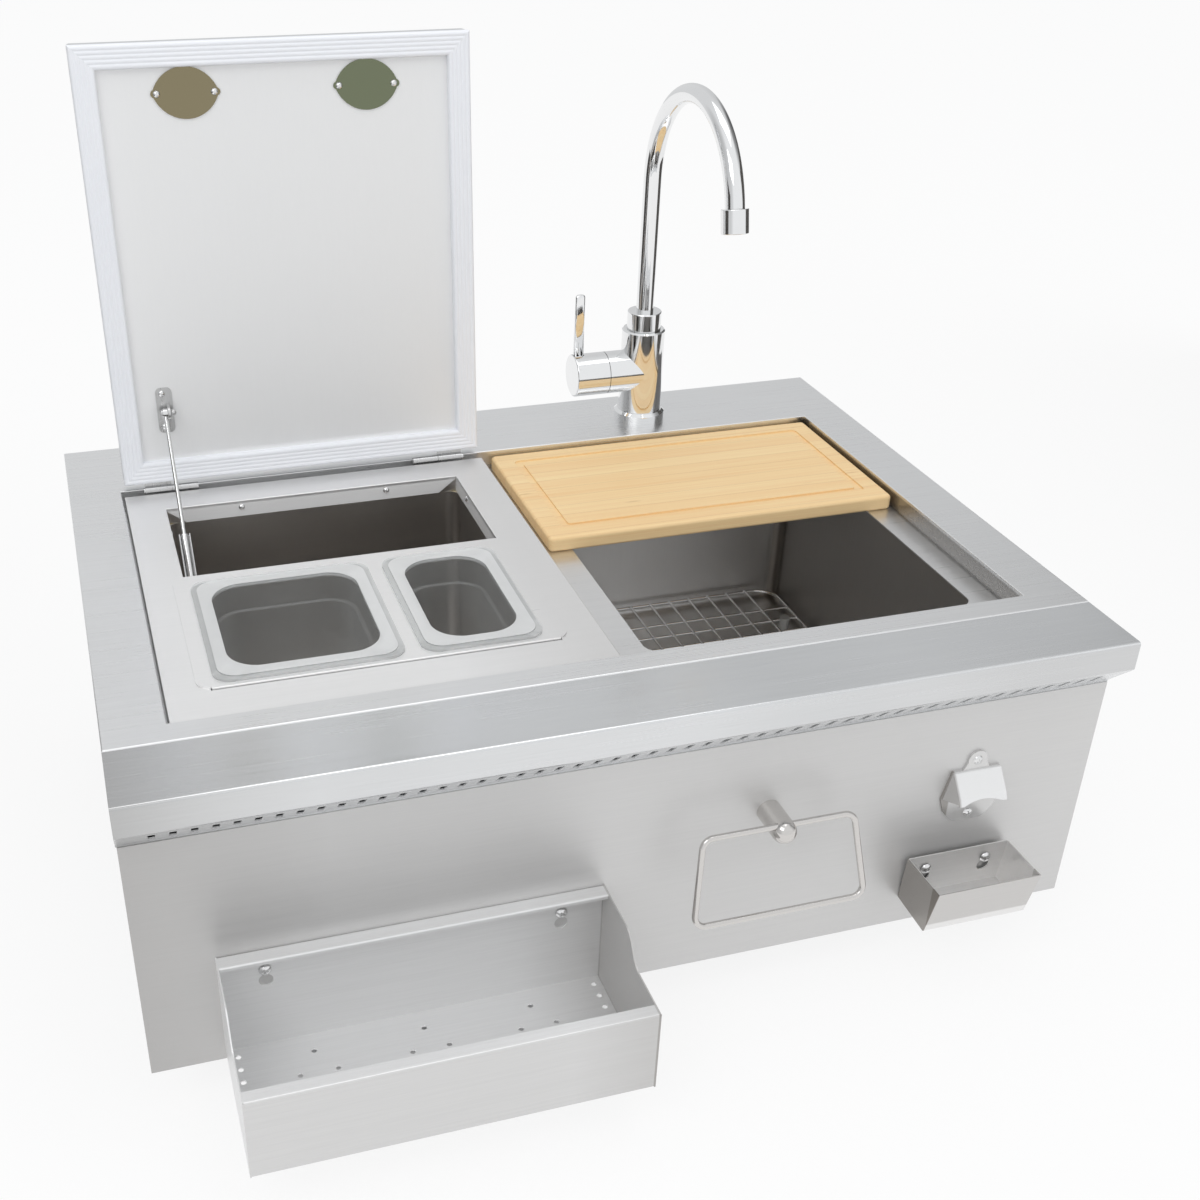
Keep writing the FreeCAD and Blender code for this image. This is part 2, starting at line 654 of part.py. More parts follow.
def front_panel():
    ends = HALF_W - PANEL_INSET
    sheet = block(-ends, ends, PANEL_FACE, 0, PANEL_BOTTOM_Z, PANEL_TOP_Z - SHEET)
    back = HOUSE_X - SHEET - 2
    fold = block(-back, back, PANEL_FACE, PANEL_RETURN, PANEL_BOTTOM_Z, PANEL_BOTTOM_Z + SHEET)
    panel = fuse([sheet, fold])
    panel = soften(panel, SHEET * 0.8, lambda e, m: along(e, V(1, 0, 0)) and near(m.y, PANEL_FACE)
                   and near(m.z, PANEL_BOTTOM_Z))
    for i, seat in enumerate(panel_screw_seats()):
        head_r = SCREW_HEAD_R if i < 2 else HANG_SCREW_R
        panel = panel.cut(screw_hole(seat, V(0, -1, 0), head_r))
    post = V(RING_POST_X, 0, RING_POST_Z)
    return panel.cut(rod(post + V(0, -3, 0), post + V(0, 3, 0), shank_r()))


# ---------------------------------------------------------------- housing below the counter

def side_panel(side):
    outer, inner = side * HOUSE_X, side * (HOUSE_X - SHEET)
    x0, x1 = sorted((outer, inner))
    wall = block(x0, x1, 0, HOUSE_B, HOUSING_BOTTOM, TOP - SHEET)
    t0, t1 = sorted((inner, side * (HOUSE_X + HOUSING_FLANGE - 3)))
    top = block(t0, t1, FRAME_FRONT + SHEET + 2, HOUSE_B, TOP - 2 * SHEET, TOP - SHEET)
    f0, f1 = sorted((outer, side * (HOUSE_X - HOUSING_FLANGE)))
    front = block(f0, f1, 0, SHEET, HOUSING_BOTTOM, PANEL_TOP_Z - NOSE_TAIL - 2)
    rear = block(f0, f1, HOUSE_B - SHEET, HOUSE_B, HOUSING_BOTTOM, TOP - SHEET)
    wall = fuse([wall, top, front, rear])
    notch = block(x0 - 15, x1 + 15, -1, FRAME_FRONT + SHEET + 1, PANEL_TOP_Z - NOSE_TAIL - 1, TOP + 1)
    return wall.cut(notch)


def rear_panel():
    ends = HOUSE_X - SHEET
    wall = block(-ends, ends, HOUSE_B - 2 * SHEET, HOUSE_B - SHEET, HOUSING_BOTTOM, TOP - SHEET)
    top = block(-ends, ends, HOUSE_B - 2 * SHEET - HOUSING_FLANGE, HOUSE_B - SHEET,
                TOP - 2 * SHEET, TOP - SHEET)
    low = block(-ends, ends, HOUSE_B - 2 * SHEET - HOUSING_FLANGE, HOUSE_B - SHEET,
                HOUSING_BOTTOM, HOUSING_BOTTOM + SHEET)
    return fuse([wall, top, low])


def bottom_panel():
    ends = HOUSE_X - SHEET
    rear = HOUSE_B - 2 * SHEET
    floor = block(-ends, ends, SHEET, rear, HOUSING_BOTTOM + SHEET, HOUSING_BOTTOM + 2 * SHEET)
    low, high = HOUSING_BOTTOM + SHEET, HOUSING_BOTTOM + SHEET + TRAY_EDGE
    left = block(-ends, -ends + SHEET, SHEET, rear, low, high)
    right = block(ends - SHEET, ends, SHEET, rear, low, high)
    tray = fuse([floor, left, right])
    low, high = HOUSING_BOTTOM - SHEET, HOUSING_BOTTOM + 3 * SHEET
    tray = tray.cut(rod(V(BOWL_CX, BOWL_CY, low), V(BOWL_CX, BOWL_CY, high), TAIL_NUT_R + TRAY_HOLE_CLEAR))
    return tray.cut(rod(V(BIN_CX, BIN_CY, low), V(BIN_CX, BIN_CY, high), BIN_DRAIN_R + TRAY_HOLE_CLEAR))


# ---------------------------------------------------------------- recess floor and sink bowl

def foam_box(extra, z0, z1):
    """Block of the foam's outer size, wider by extra on each side."""
    pad = SHEET + LINER_SHEET + FOAM_THICK + extra
    return block(BIN_L - pad, BIN_R + pad, BIN_F - pad, BIN_B + pad, z0, z1)


def deck_pan():
    out = SHEET * 2
    floor = block(REC_L - out, REC_R + out, REC_F - out, REC_B + out, DECK_TOP - SHEET, DECK_TOP)
    lips = block(REC_L - out, REC_R + out, REC_F - out, REC_B + out, DECK_TOP - SHEET,
                 DECK_TOP + DECK_LIP)
    lips = lips.cut(block(REC_L - SHEET, REC_R + SHEET, REC_F - SHEET, REC_B + SHEET,
                          DECK_TOP - SHEET - 1, DECK_TOP + DECK_LIP + 1))
    deck = fuse([floor, lips])
    deck = deck.cut(rounded_block(BOWL_L_X, BOWL_R_X, BOWL_F_Y, BOWL_B_Y, DECK_TOP - 9, DECK_TOP + 9,
                                  BOWL_CORNER_R))
    return deck.cut(foam_box(SLIDE_GAP, DECK_TOP - 9, DECK_TOP + 9))


def bowl_inside(grow, z0, z1):
    return rounded_block(BOWL_L_X - grow, BOWL_R_X + grow, BOWL_F_Y - grow, BOWL_B_Y + grow, z0, z1,
                         BOWL_CORNER_R + grow)


def sink_bowl():
    top = DECK_TOP - SHEET
    shell = bowl_inside(SHEET, BOWL_FLOOR - SHEET, top)
    shell = soften(shell, BOWL_FLOOR_R + SHEET, lambda e, m: near(m.z, BOWL_FLOOR - SHEET))
    hollow = bowl_inside(0, BOWL_FLOOR, top + 1)
    hollow = soften(hollow, BOWL_FLOOR_R, lambda e, m: near(m.z, BOWL_FLOOR))
    flange = bowl_inside(BOWL_WELD_FLANGE, top - SHEET, top)
    bowl = shell.fuse(flange).cut(hollow).removeSplitter()
    return bowl.cut(rod(V(BOWL_CX, BOWL_CY, BOWL_FLOOR - 5), V(BOWL_CX, BOWL_CY, BOWL_FLOOR + 5),
                        SINK_DRAIN_HOLE_R))


def sink_drain():
    centre = V(BOWL_CX, BOWL_CY, BOWL_FLOOR)
    r, w, deep = STRAINER_BODY_R, STRAINER_WALL, STRAINER_DEEP
    low_r = TAIL_R + 5
    body = turned([(r - w, 0), (r - w, -deep + w), (TAIL_R - 3, -deep + w), (TAIL_R - 3, -deep - 12),
                   (low_r, -deep - 12), (low_r, -deep), (r, -deep), (r, -0.0),
                   (STRAINER_FLANGE_R, 0), (STRAINER_FLANGE_R - 3, 1.6), (r - w + 3, 1.6)], centre)
    add("strainer_body", body)
    bore, wall, edge = r + STRAINER_NUT_RUN, r + STRAINER_NUT_WALL, r + STRAINER_NUT_REACH
    lip, foot = -SHEET - STRAINER_NUT_LIP, -SHEET - STRAINER_NUT_HEIGHT
    nut = turned([(bore, -SHEET), (edge, -SHEET), (edge, lip), (wall, lip), (wall, foot),
                  (bore, foot)], centre)
    lugs = []
    for i in range(6):
        lug = block(wall - 1, edge, -STRAINER_NUT_LUG / 2, STRAINER_NUT_LUG / 2,
                    BOWL_FLOOR + foot, BOWL_FLOOR + lip)
        lug.translate(V(BOWL_CX, BOWL_CY, 0))
        lug.rotate(centre, V(0, 0, 1), 60 * i)
        lugs.append(lug)
    add("strainer_nut", fuse([nut] + lugs))
    top = BOWL_FLOOR - deep - 12
    tail = pipe(V(BOWL_CX, BOWL_CY, top - TAIL_LENGTH), V(BOWL_CX, BOWL_CY, top), TAIL_R,
                TAIL_R - TAIL_WALL)
    coupling = turned([(TAIL_R, 0), (TAIL_NUT_R, 0), (TAIL_NUT_R, -16), (TAIL_R, -16)],
                      V(BOWL_CX, BOWL_CY, top))
    ribs = []
    for i in range(8):
        rib = block(TAIL_NUT_R - 1, TAIL_NUT_R + TAIL_NUT_RIB, -2, 2, top - 15, top - 1)
        rib.translate(V(BOWL_CX, BOWL_CY, 0))
        rib.rotate(centre, V(0, 0, 1), 45 * i)
        ribs.append(rib)
    add("sink_tailpiece", fuse([tail, coupling] + ribs))


def strainer_basket():
    centre = V(BOWL_CX, BOWL_CY, BOWL_FLOOR)
    r = STRAINER_BODY_R - STRAINER_WALL - 1.0
    deep = STRAINER_DEEP - 16
    cup = turned([(0, -deep), (r - 10, -deep), (r - 1.5, -2.0), (r + 0.7, 0.5), (r + 5.4, 2.3),
                  (r + 5.4, 3.5), (r + 0.1, 1.8), (r - 2.9, -1.4), (r - 11, -deep + 1.4),
                  (0, -deep + 1.4)], centre)
    holes = []
    for ring_r, count in ((9, 6), (18, 12)):
        for i in range(count):
            angle = 2 * math.pi * i / count
            place = centre + V(ring_r * math.cos(angle), ring_r * math.sin(angle), -deep - 1)
            holes.append(Part.makeCylinder(1.9, 4, place))
    cup = cup.cut(Part.makeCompound(holes))
    stem = rod(centre + V(0, 0, -deep - 9), centre + V(0, 0, 2.5), 2.4)
    knob = rod(centre + V(0, 0, 0.5), centre + V(0, 0, 3.6), 7)
    plug = rod(centre + V(0, 0, -deep - 9), centre + V(0, 0, -deep - 3), 15.5)
    return fuse([cup, stem, knob, plug])


# ---------------------------------------------------------------- ice bin

def bin_plate():
    low = DECK_TOP
    shell = block(PLATE_L, PLATE_R, PLATE_F, PLATE_B, low, PLATE_TOP)
    shell = soften(shell, BEND_R * 0.6, lambda e, m: near(m.z, PLATE_TOP))
    hollow = block(PLATE_L + SHEET, PLATE_R - SHEET, PLATE_F + SHEET, PLATE_B - SHEET,
                   low - 1, PLATE_TOP - SHEET)
    plate = shell.cut(hollow)
    collar = block(BIN_L - SHEET, BIN_R + SHEET, BIN_F - SHEET, BIN_B + SHEET, low, PLATE_TOP - SHEET)
    plate = plate.fuse(collar).cut(block(BIN_L, BIN_R, BIN_F, BIN_B, low - 1, PLATE_TOP + 1))
    plate = plate.removeSplitter()
    # the front and rear turned-down edges are trimmed at a slant beside the corners
    high = PLATE_TOP - SHEET - BEND_R
    for x, inward in ((BIN_L, 1), (BIN_R, -1)):
        corner = [V(x, BIN_F - SHEET - 0.5, high), V(x, BIN_F - SHEET - 0.5, low - 1),
                  V(x + inward * PLATE_MITRE, BIN_F - SHEET - 0.5, low - 1)]
        trim = Part.Face(Part.makePolygon(corner + [corner[0]]))
        plate = plate.cut(trim.extrude(V(0, BIN_DEPTH_Y + 2 * SHEET + 1, 0)))
    plate = soften(plate, BEND_R * 0.5, lambda e, m: near(m.z, PLATE_TOP) and (
        near(m.x, BIN_L) or near(m.x, BIN_R) or near(m.y, BIN_F) or near(m.y, BIN_B)))
    for seat, out in bin_screw_seats():
        plate = plate.cut(screw_hole(seat, out, SMALL_SCREW_R))
    return plate


def bin_screw_seats():
    """Two screws through each wall but the front one, heads inside the bin."""
    z = PLATE_TOP - 7.5
    seats = []
    for x in (BIN_L + 0.25 * BIN_WIDTH, BIN_R - 0.25 * BIN_WIDTH):
        seats.append((V(x, BIN_B, z), V(0, -1, 0)))
    for y in (BIN_F + 0.12 * BIN_DEPTH_Y, BIN_B - 0.12 * BIN_DEPTH_Y):
        seats.append((V(BIN_L, y, z), V(1, 0, 0)))
        seats.append((V(BIN_R, y, z), V(-1, 0, 0)))
    return seats


def tub_loop(grow, z0, z1):
    pad = SHEET + grow
    return rounded_block(BIN_L - pad, BIN_R + pad, BIN_F - pad, BIN_B + pad, z0, z1, BIN_CORNER_R + grow)


def ice_tub():
    top = PLATE_TOP - SHEET
    collar_top = DECK_TOP
    shell = tub_loop(LINER_SHEET, TUB_FLOOR - LINER_SHEET, collar_top)
    shell = soften(shell, BIN_CORNER_R * 0.8, lambda e, m: near(m.z, TUB_FLOOR - LINER_SHEET))
    hollow = tub_loop(0, TUB_FLOOR, top + 1)
    hollow = soften(hollow, BIN_CORNER_R * 0.8 - LINER_SHEET, lambda e, m: near(m.z, TUB_FLOOR))
    # above the recess floor the walls are square, round the plate's collar
    out = SHEET + LINER_SHEET
    square = block(BIN_L - out, BIN_R + out, BIN_F - out, BIN_B + out, collar_top, top)
    square = square.cut(block(BIN_L - SHEET, BIN_R + SHEET, BIN_F - SHEET, BIN_B + SHEET,
                              collar_top - 1, top + 1))
    wide = out + TUB_FLANGE
    flange = block(BIN_L - wide, BIN_R + wide, BIN_F - wide, BIN_B + wide, top - LINER_SHEET, top)
    flange = flange.cut(block(BIN_L - SHEET, BIN_R + SHEET, BIN_F - SHEET, BIN_B + SHEET,
                              top - 3, top + 1))
    tub = shell.cut(hollow).fuse([square, flange]).removeSplitter()
    for seat, outward in bin_screw_seats():
        tub = tub.cut(screw_hole(seat, outward, SMALL_SCREW_R))
    return tub.cut(rod(V(BIN_CX, BIN_CY, TUB_FLOOR - 5), V(BIN_CX, BIN_CY, TUB_FLOOR + 5), BIN_DRAIN_R))


def bin_insulation():
    low = TUB_FLOOR - LINER_SHEET - FOAM_THICK
    foam = foam_box(0, low, PLATE_TOP - SHEET - LINER_SHEET)
    inner = tub_loop(LINER_SHEET, TUB_FLOOR - LINER_SHEET, PLATE_TOP + 1)
    square = block(BIN_L - SHEET - LINER_SHEET, BIN_R + SHEET + LINER_SHEET,
                   BIN_F - SHEET - LINER_SHEET, BIN_B + SHEET + LINER_SHEET, DECK_TOP - 1, PLATE_TOP + 1)
    foam = foam.cut(inner).cut(square)
    for seat, outward in bin_screw_seats():
        foam = foam.cut(screw_hole(seat, outward, SMALL_SCREW_R, 0.2, SCREW_SHANK + 2))
    return foam.cut(rod(V(BIN_CX, BIN_CY, low - 5), V(BIN_CX, BIN_CY, TUB_FLOOR + 5),
                        BIN_DRAIN_R + 0.3))


def bin_jacket():
    low = TUB_FLOOR - LINER_SHEET - FOAM_THICK
    top = DECK_TOP - SHEET
    shell = foam_box(LINER_SHEET, low - LINER_SHEET, top).cut(foam_box(0, low, top + 1))
    flange = foam_box(LINER_SHEET + JACKET_FLANGE, top - LINER_SHEET, top)
    flange = flange.cut(foam_box(0, top - 3, top + 1))
    jacket = shell.fuse(flange).removeSplitter()
    return jacket.cut(rod(V(BIN_CX, BIN_CY, low - 5), V(BIN_CX, BIN_CY, low + 5), BIN_DRAIN_R + 0.3))


def bin_drain():
    centre = V(BIN_CX, BIN_CY, TUB_FLOOR)
    fitting = turned([(BIN_DRAIN_BORE_R, 1.4), (BIN_DRAIN_FLANGE_R - 1.5, 1.4), (BIN_DRAIN_FLANGE_R, 0),
                      (BIN_DRAIN_R - 0.1, 0), (BIN_DRAIN_R - 0.1, -BIN_DRAIN_LENGTH),
                      (BIN_SPIGOT_R, -BIN_DRAIN_LENGTH),
                      (BIN_SPIGOT_R, -BIN_DRAIN_LENGTH - BIN_SPIGOT_LENGTH),
                      (BIN_DRAIN_BORE_R, -BIN_DRAIN_LENGTH - BIN_SPIGOT_LENGTH)], centre)
    bars = [block(-BIN_DRAIN_BORE_R - 1, BIN_DRAIN_BORE_R + 1, -1, 1, -1, 1.4),
            block(-1, 1, -BIN_DRAIN_BORE_R - 1, BIN_DRAIN_BORE_R + 1, -1, 1.4)]
    for bar in bars:
        bar.translate(centre)
    add("bin_drain", fuse([fitting] + bars))
    z = TUB_FLOOR - 2 * LINER_SHEET - FOAM_THICK
    corners = [math.pi * i / 3 for i in range(6)]
    sides = [V(BIN_CX + BIN_NUT_R * math.cos(a), BIN_CY + BIN_NUT_R * math.sin(a), z - BIN_NUT_HEIGHT)
             for a in corners]
    nut = Part.Face(Part.makePolygon(sides + [sides[0]])).extrude(V(0, 0, BIN_NUT_HEIGHT))
    nut = nut.cut(rod(centre - V(0, 0, FOAM_THICK + BIN_DRAIN_LENGTH), centre, BIN_DRAIN_R - 0.05))
    add("bin_drain_nut", nut)


# ---------------------------------------------------------------- lid and its hinges

def lid_turn(shape):
    """Carry a shape from the closed lid to the open lid."""
    shape.rotate(V(0, HINGE_Y, HINGE_Z), V(1, 0, 0), -LID_OPEN_ANGLE)
    return shape


def cup_centres():
    mid = (LID_L + LID_R) / 2
    y = LID_F + CUP_FROM_FRONT
    return [V(mid - CUP_SPACING / 2, y, 0), V(mid + CUP_SPACING / 2, y, 0)]


def lid_skin():
    top = LINER_Z + LID_SKIN_DEEP
    shell = block(LID_L, LID_R, LID_F, LID_B, LINER_Z, top)
    shell = soften(shell, 3.0, lambda e, m: along(e, V(0, 0, 1)))
    shell = soften(shell, 2.4, lambda e, m: near(m.z, top))
    hollow = block(LID_L + SHEET, LID_R - SHEET, LID_F + SHEET, LID_B - SHEET,
                   LINER_Z + SHEET, top - SHEET)
    mouth = block(LID_L + 12, LID_R - 12, LID_F + 12, LID_B - 12, LINER_Z - 1, LINER_Z + SHEET + 1)
    skin = shell.cut(hollow).cut(mouth)
    for c in cup_centres():
        skin = skin.cut(rod(V(c.x, c.y, top - 4), V(c.x, c.y, top + 1), CUP_R))
    return skin


def lid_liner():
    z = LINER_Z + SHEET
    liner = block(LID_L + SHEET + 0.5, LID_R - SHEET - 0.5, LID_F + SHEET + 0.5, LID_B - SHEET - 0.5,
                  z, z + LINER_SHEET)
    raised = block(LID_L + 12.5, LID_R - 12.5, LID_F + 12.5, LID_B - 12.5, LINER_Z, z)
    liner = fuse([liner, raised])
    for seat in lid_screw_seats():
        liner = liner.cut(screw_hole(seat, V(0, 0, -1), SMALL_SCREW_R))
    return liner


def lid_screw_seats():
    """Screws of the two cup plates, then of the stay bracket; heads point down, lid closed."""
    seats = []
    for c in cup_centres():
        for dx in (-CUP_SCREW_SPACING / 2, CUP_SCREW_SPACING / 2):
            seats.append(V(c.x + dx, c.y, LINER_Z - CUP_PLATE_THICK))
    for du in (-17, 17):
        seats.append(V(STAY_X - 1.0, HINGE_Y - STAY_FROM_HINGE + du, LINER_Z - 1.5))
    return seats


def lid_foam():
    z0, z1 = LINER_Z + SHEET + LINER_SHEET, LINER_Z + LID_SKIN_DEEP - SHEET
    foam = block(LID_L + SHEET, LID_R - SHEET, LID_F + SHEET, LID_B - SHEET, z0, z1)
    for c in cup_centres():
        foam = foam.cut(rod(V(c.x, c.y, z0 - 1), V(c.x, c.y, z1 + 1), CUP_R + 0.3))
    for seat in lid_screw_seats():
        foam = foam.cut(screw_hole(seat, V(0, 0, -1), SMALL_SCREW_R, 0.2, SCREW_SHANK + 2))
    return foam


def lid_gasket():
    w = GASKET_WIDTH
    ring = block(LID_L, LID_R, LID_F, LID_B, GASKET_Z, LINER_Z)
    ring = soften(ring, 2.0, lambda e, m: near(m.z, GASKET_Z))
    ring = ring.cut(block(LID_L + w, LID_R - w, LID_F + w, LID_B - w, GASKET_Z - 1, LINER_Z + 1))
    step = w / (GASKET_GROOVES + 1)
    half = GASKET_GROOVE_W / 2
    for i in range(1, GASKET_GROOVES + 1):
        at = i * step
        outer = block(LID_L + at - half, LID_R - at + half, LID_F + at - half, LID_B - at + half,
                      GASKET_Z - 1, GASKET_Z + GASKET_GROOVE_DEEP)
        inner = block(LID_L + at + half, LID_R - at - half, LID_F + at + half, LID_B - at - half,
                      GASKET_Z - 2, GASKET_Z + 2)
        ring = ring.cut(outer.cut(inner))
    return ring


def finger_cups():
    top = LINER_Z + LID_SKIN_DEEP
    cups = []
    for c in cup_centres():
        cup = turned([(0, -CUP_DEEP - 0.8), (CUP_R - 4, -CUP_DEEP - 0.8), (CUP_R, -CUP_DEEP + 3.2),
                      (CUP_R, 0), (CUP_R + 3.5, 0.0), (CUP_R + 3.5, 0.7), (CUP_R - 0.8, 0.7),
                      (CUP_R - 0.8, -CUP_DEEP + 3.5), (CUP_R - 4.3, -CUP_DEEP), (0, -CUP_DEEP)],
                     V(c.x, c.y, top))
        cups.append(cup)
    return Part.makeCompound(cups)


def cup_plates():
    """Lens-shaped covers under the finger cups, drawn as two arcs with round tips."""
    plates = []
    half_w, half_h = CUP_PLATE_WIDTH / 2, CUP_PLATE_HEIGHT / 2
    tip = 4.2
    z = LINER_Z - CUP_PLATE_THICK
    for c in cup_centres():
        points = []
        for sign in (1, -1):
            start = V(c.x - sign * (half_w - tip * 0.6), c.y + sign * tip * 0.8, z)
            end = V(c.x + sign * (half_w - tip * 0.6), c.y + sign * tip * 0.8, z)
            points.append((start, V(c.x, c.y + sign * half_h, z), end))
        edges = []
        for i, (start, crown, end) in enumerate(points):
            edges.append(Part.Arc(start, crown, end).toShape())
            sign = 1 if i == 0 else -1
            following = points[1 - i][0]
            edges.append(Part.Arc(end, V(c.x + sign * half_w, c.y, z), following).toShape())
        lens = Part.Face(Part.Wire(edges)).extrude(V(0, 0, CUP_PLATE_THICK))
        plates.append(lens)
    whole = Part.makeCompound(plates)
    for seat in lid_screw_seats()[:4]:
        whole = whole.cut(screw_hole(seat, V(0, 0, -1), SMALL_SCREW_R))
    return whole


def knuckle_spans():
    """(lid knuckle, frame knuckle) X spans for each hinge."""
    left, right = -HALF_W + HINGE_LEFT, LID_R - HINGE_RIGHT
    return [((left, left + KNUCKLE), (left + KNUCKLE + KNUCKLE_GAP, left + 2 * KNUCKLE)),
            ((right + KNUCKLE + KNUCKLE_GAP, right + 2 * KNUCKLE), (right, right + KNUCKLE))]


def hinges():
    frame_leaves, lid_leaves, pins = [], [], []
    for lid_span, frame_span in knuckle_spans():
        a, b = frame_span
        barrel = rod(V(a, HINGE_Y, HINGE_Z), V(b, HINGE_Y, HINGE_Z), BARREL_R)
        leaf = block(a, b, REC_B - LEAF_THICK, REC_B, HINGE_Z - LEAF_DROP, HINGE_Z)
        solid = fuse([barrel, leaf])
        bore = rod(V(a - 1, HINGE_Y, HINGE_Z), V(b + 1, HINGE_Y, HINGE_Z), HINGE_PIN_R)
        frame_leaves.append(solid.cut(bore))
        a, b = lid_span
        barrel = rod(V(a, HINGE_Y, HINGE_Z), V(b, HINGE_Y, HINGE_Z), BARREL_R)
        arm_z = HINGE_Z + BARREL_R
        arm = block(a, b, LID_B, HINGE_Y, arm_z - LEAF_THICK, arm_z)
        tab = block(a, b, LID_B, LID_B + LEAF_THICK, arm_z - LEAF_THICK, LINER_Z + LID_SKIN_DEEP - 3.5)
        solid = fuse([barrel, arm, tab])
        bore = rod(V(a - 1, HINGE_Y, HINGE_Z), V(b + 1, HINGE_Y, HINGE_Z), HINGE_PIN_R + HINGE_RUN)
        lid_leaves.append(lid_turn(solid.cut(bore)))
        start = min(lid_span[0], frame_span[0])
        end = max(lid_span[1], frame_span[1])
        shaft = rod(V(start, HINGE_Y, HINGE_Z), V(end, HINGE_Y, HINGE_Z), HINGE_PIN_R)
        free = start if lid_span[0] < frame_span[0] else end
        out = -1 if free == start else 1
        head = rod(V(free + out * 0.2, HINGE_Y, HINGE_Z), V(free + out * 1.4, HINGE_Y, HINGE_Z),
                   BARREL_R - 0.6)
        neck = rod(V(free, HINGE_Y, HINGE_Z), V(free + out * 0.3, HINGE_Y, HINGE_Z), HINGE_PIN_R)
        pins.append(fuse([shaft, neck, head]))
    add("hinge_frame_leaves", Part.makeCompound(frame_leaves))
    add("hinge_lid_leaves", Part.makeCompound(lid_leaves))
    add("hinge_pins", Part.makeCompound(pins))


# ---------------------------------------------------------------- lid stay

def stay_lid_pin():
    """Stay pin on the lid at rest (lid open)."""
    lean = math.radians(LID_OPEN_ANGLE - 90)
    along_lid = STAY_FROM_HINGE
    off = (LINER_Z - STAY_STANDOFF) - HINGE_Z
    y = HINGE_Y + along_lid * math.sin(lean) + off * math.cos(lean)
    z = HINGE_Z + along_lid * math.cos(lean) - off * math.sin(lean)
    return V(STAY_X, y, z)


def stay_line():
    """Unit vector from the lid pin down to the bin pin."""
    slope = math.radians(STAY_OPEN_SLOPE)
    return V(0, -math.cos(slope), -math.sin(slope))


def lid_stay():
    top, line = stay_lid_pin(), stay_line()
    low = top + line * STAY_OPEN_LENGTH
    side = V(1, 0, 0)
    half = STAY_EYE_THICK / 2
    # rod with its eye
    rod_end = STAY_OPEN_LENGTH - STAY_TUBE_LENGTH + STAY_ROD_INSIDE
    eye = rod(top - side * half, top + side * half, STAY_EYE_R)
    stem = rod(top + line * 1.0, top + line * rod_end, STAY_ROD_R)
    guide = rod(top + line * (rod_end - 6), top + line * rod_end,
                STAY_TUBE_R - STAY_TUBE_WALL - STAY_RUN)
    bore = rod(top - side * 3, top + side * 3, STAY_PIN_R + HINGE_RUN)
    add("stay_rod", fuse([eye, stem, guide]).cut(bore))
    # tube with its lower eye, in a folded channel that is open to the front and above
    tube_top = top + line * (STAY_OPEN_LENGTH - STAY_TUBE_LENGTH)
    tube = rod(low - line * (STAY_EYE_R - 1), tube_top, STAY_TUBE_R)
    hollow = rod(low - line * 12, tube_top + line * 2, STAY_TUBE_R - STAY_TUBE_WALL)
    neck = rod(tube_top - line * 2, tube_top + line * 2.01, STAY_ROD_R + STAY_RUN)
    tube = tube.cut(hollow).cut(neck)
    lower_eye = rod(low - side * half, low + side * half, STAY_EYE_R)
    add("stay_tube", fuse([tube, lower_eye]))
    add("stay_channel", stay_channel(low, tube_top))
    # bracket on the bin's left wall
    wall = BIN_L - SHEET
    plate = block(wall, wall + 1.5, low.y - 16, low.y + 16, low.z - 11, low.z + 11)
    boss_end = STAY_X - STAY_CHANNEL_HALF - WELD_GAP
    boss = rod(V(wall, low.y, low.z), V(boss_end, low.y, low.z), STAY_EYE_R + 1)
    screws = [pan_head_screw(V(wall + 1.5, low.y + dy, low.z), side, SMALL_SCREW_R, 1.5)
              for dy in (-11.5, 11.5)]
    add("stay_wall_bracket", fuse([plate, boss] + screws))
    # bracket on the lid: foot plate, one ear beside the eye, pin
    closed_pin = V(STAY_X, HINGE_Y - STAY_FROM_HINGE, LINER_Z - STAY_STANDOFF)
    foot = block(STAY_X - 7, STAY_X + 9, closed_pin.y - 23, closed_pin.y + 23, LINER_Z - 1.5, LINER_Z)
    foot = soften(foot, 5.0, lambda e, m: along(e, V(0, 0, 1)))
    ear_x = STAY_X + half + 0.4
    ear = block(ear_x, ear_x + 2.5, closed_pin.y - 7, closed_pin.y + 7, closed_pin.z, LINER_Z - 1)
    ear = ear.fuse(rod(V(ear_x, closed_pin.y, closed_pin.z), V(ear_x + 2.5, closed_pin.y, closed_pin.z), 7))
    pin = rod(closed_pin - side * (half + 0.3), closed_pin + side * (half + 5), STAY_PIN_R)
    cap = rod(closed_pin - side * (half + 1.8), closed_pin - side * (half + 0.3), STAY_PIN_R + 1.6)
    knob = Part.makeSphere(3.4, closed_pin + side * (half + 5.5))
    bracket = fuse([foot, ear, pin, cap, knob])
    for seat in lid_screw_seats()[4:]:
        bracket = bracket.cut(screw_hole(seat, V(0, 0, -1), SMALL_SCREW_R))
    add("stay_lid_bracket", lid_turn(bracket))


def stay_channel(low, high):
    """U-section along the stay, from its tube's top to just short of the lower eye."""
    length = (high - low).Length - STAY_EYE_R - WELD_GAP
    half, deep, thick = STAY_CHANNEL_HALF, STAY_CHANNEL_DEEP, STAY_CHANNEL_SHEET
    back = -STAY_TUBE_R - thick
    outer = Part.makeBox(2 * half, length, deep, V(-half, 0, back))
    inner = Part.makeBox(2 * (half - thick), length + 2, deep, V(-half + thick, -1, back + thick))
    channel = outer.cut(inner)
    rise = math.degrees(math.atan2((high - low).z, (high - low).y))
    channel.rotate(V(0, 0, 0), V(1, 0, 0), rise)
    channel.translate(high - (high - low).normalize() * length)
    return channel


# ---------------------------------------------------------------- pans and holder

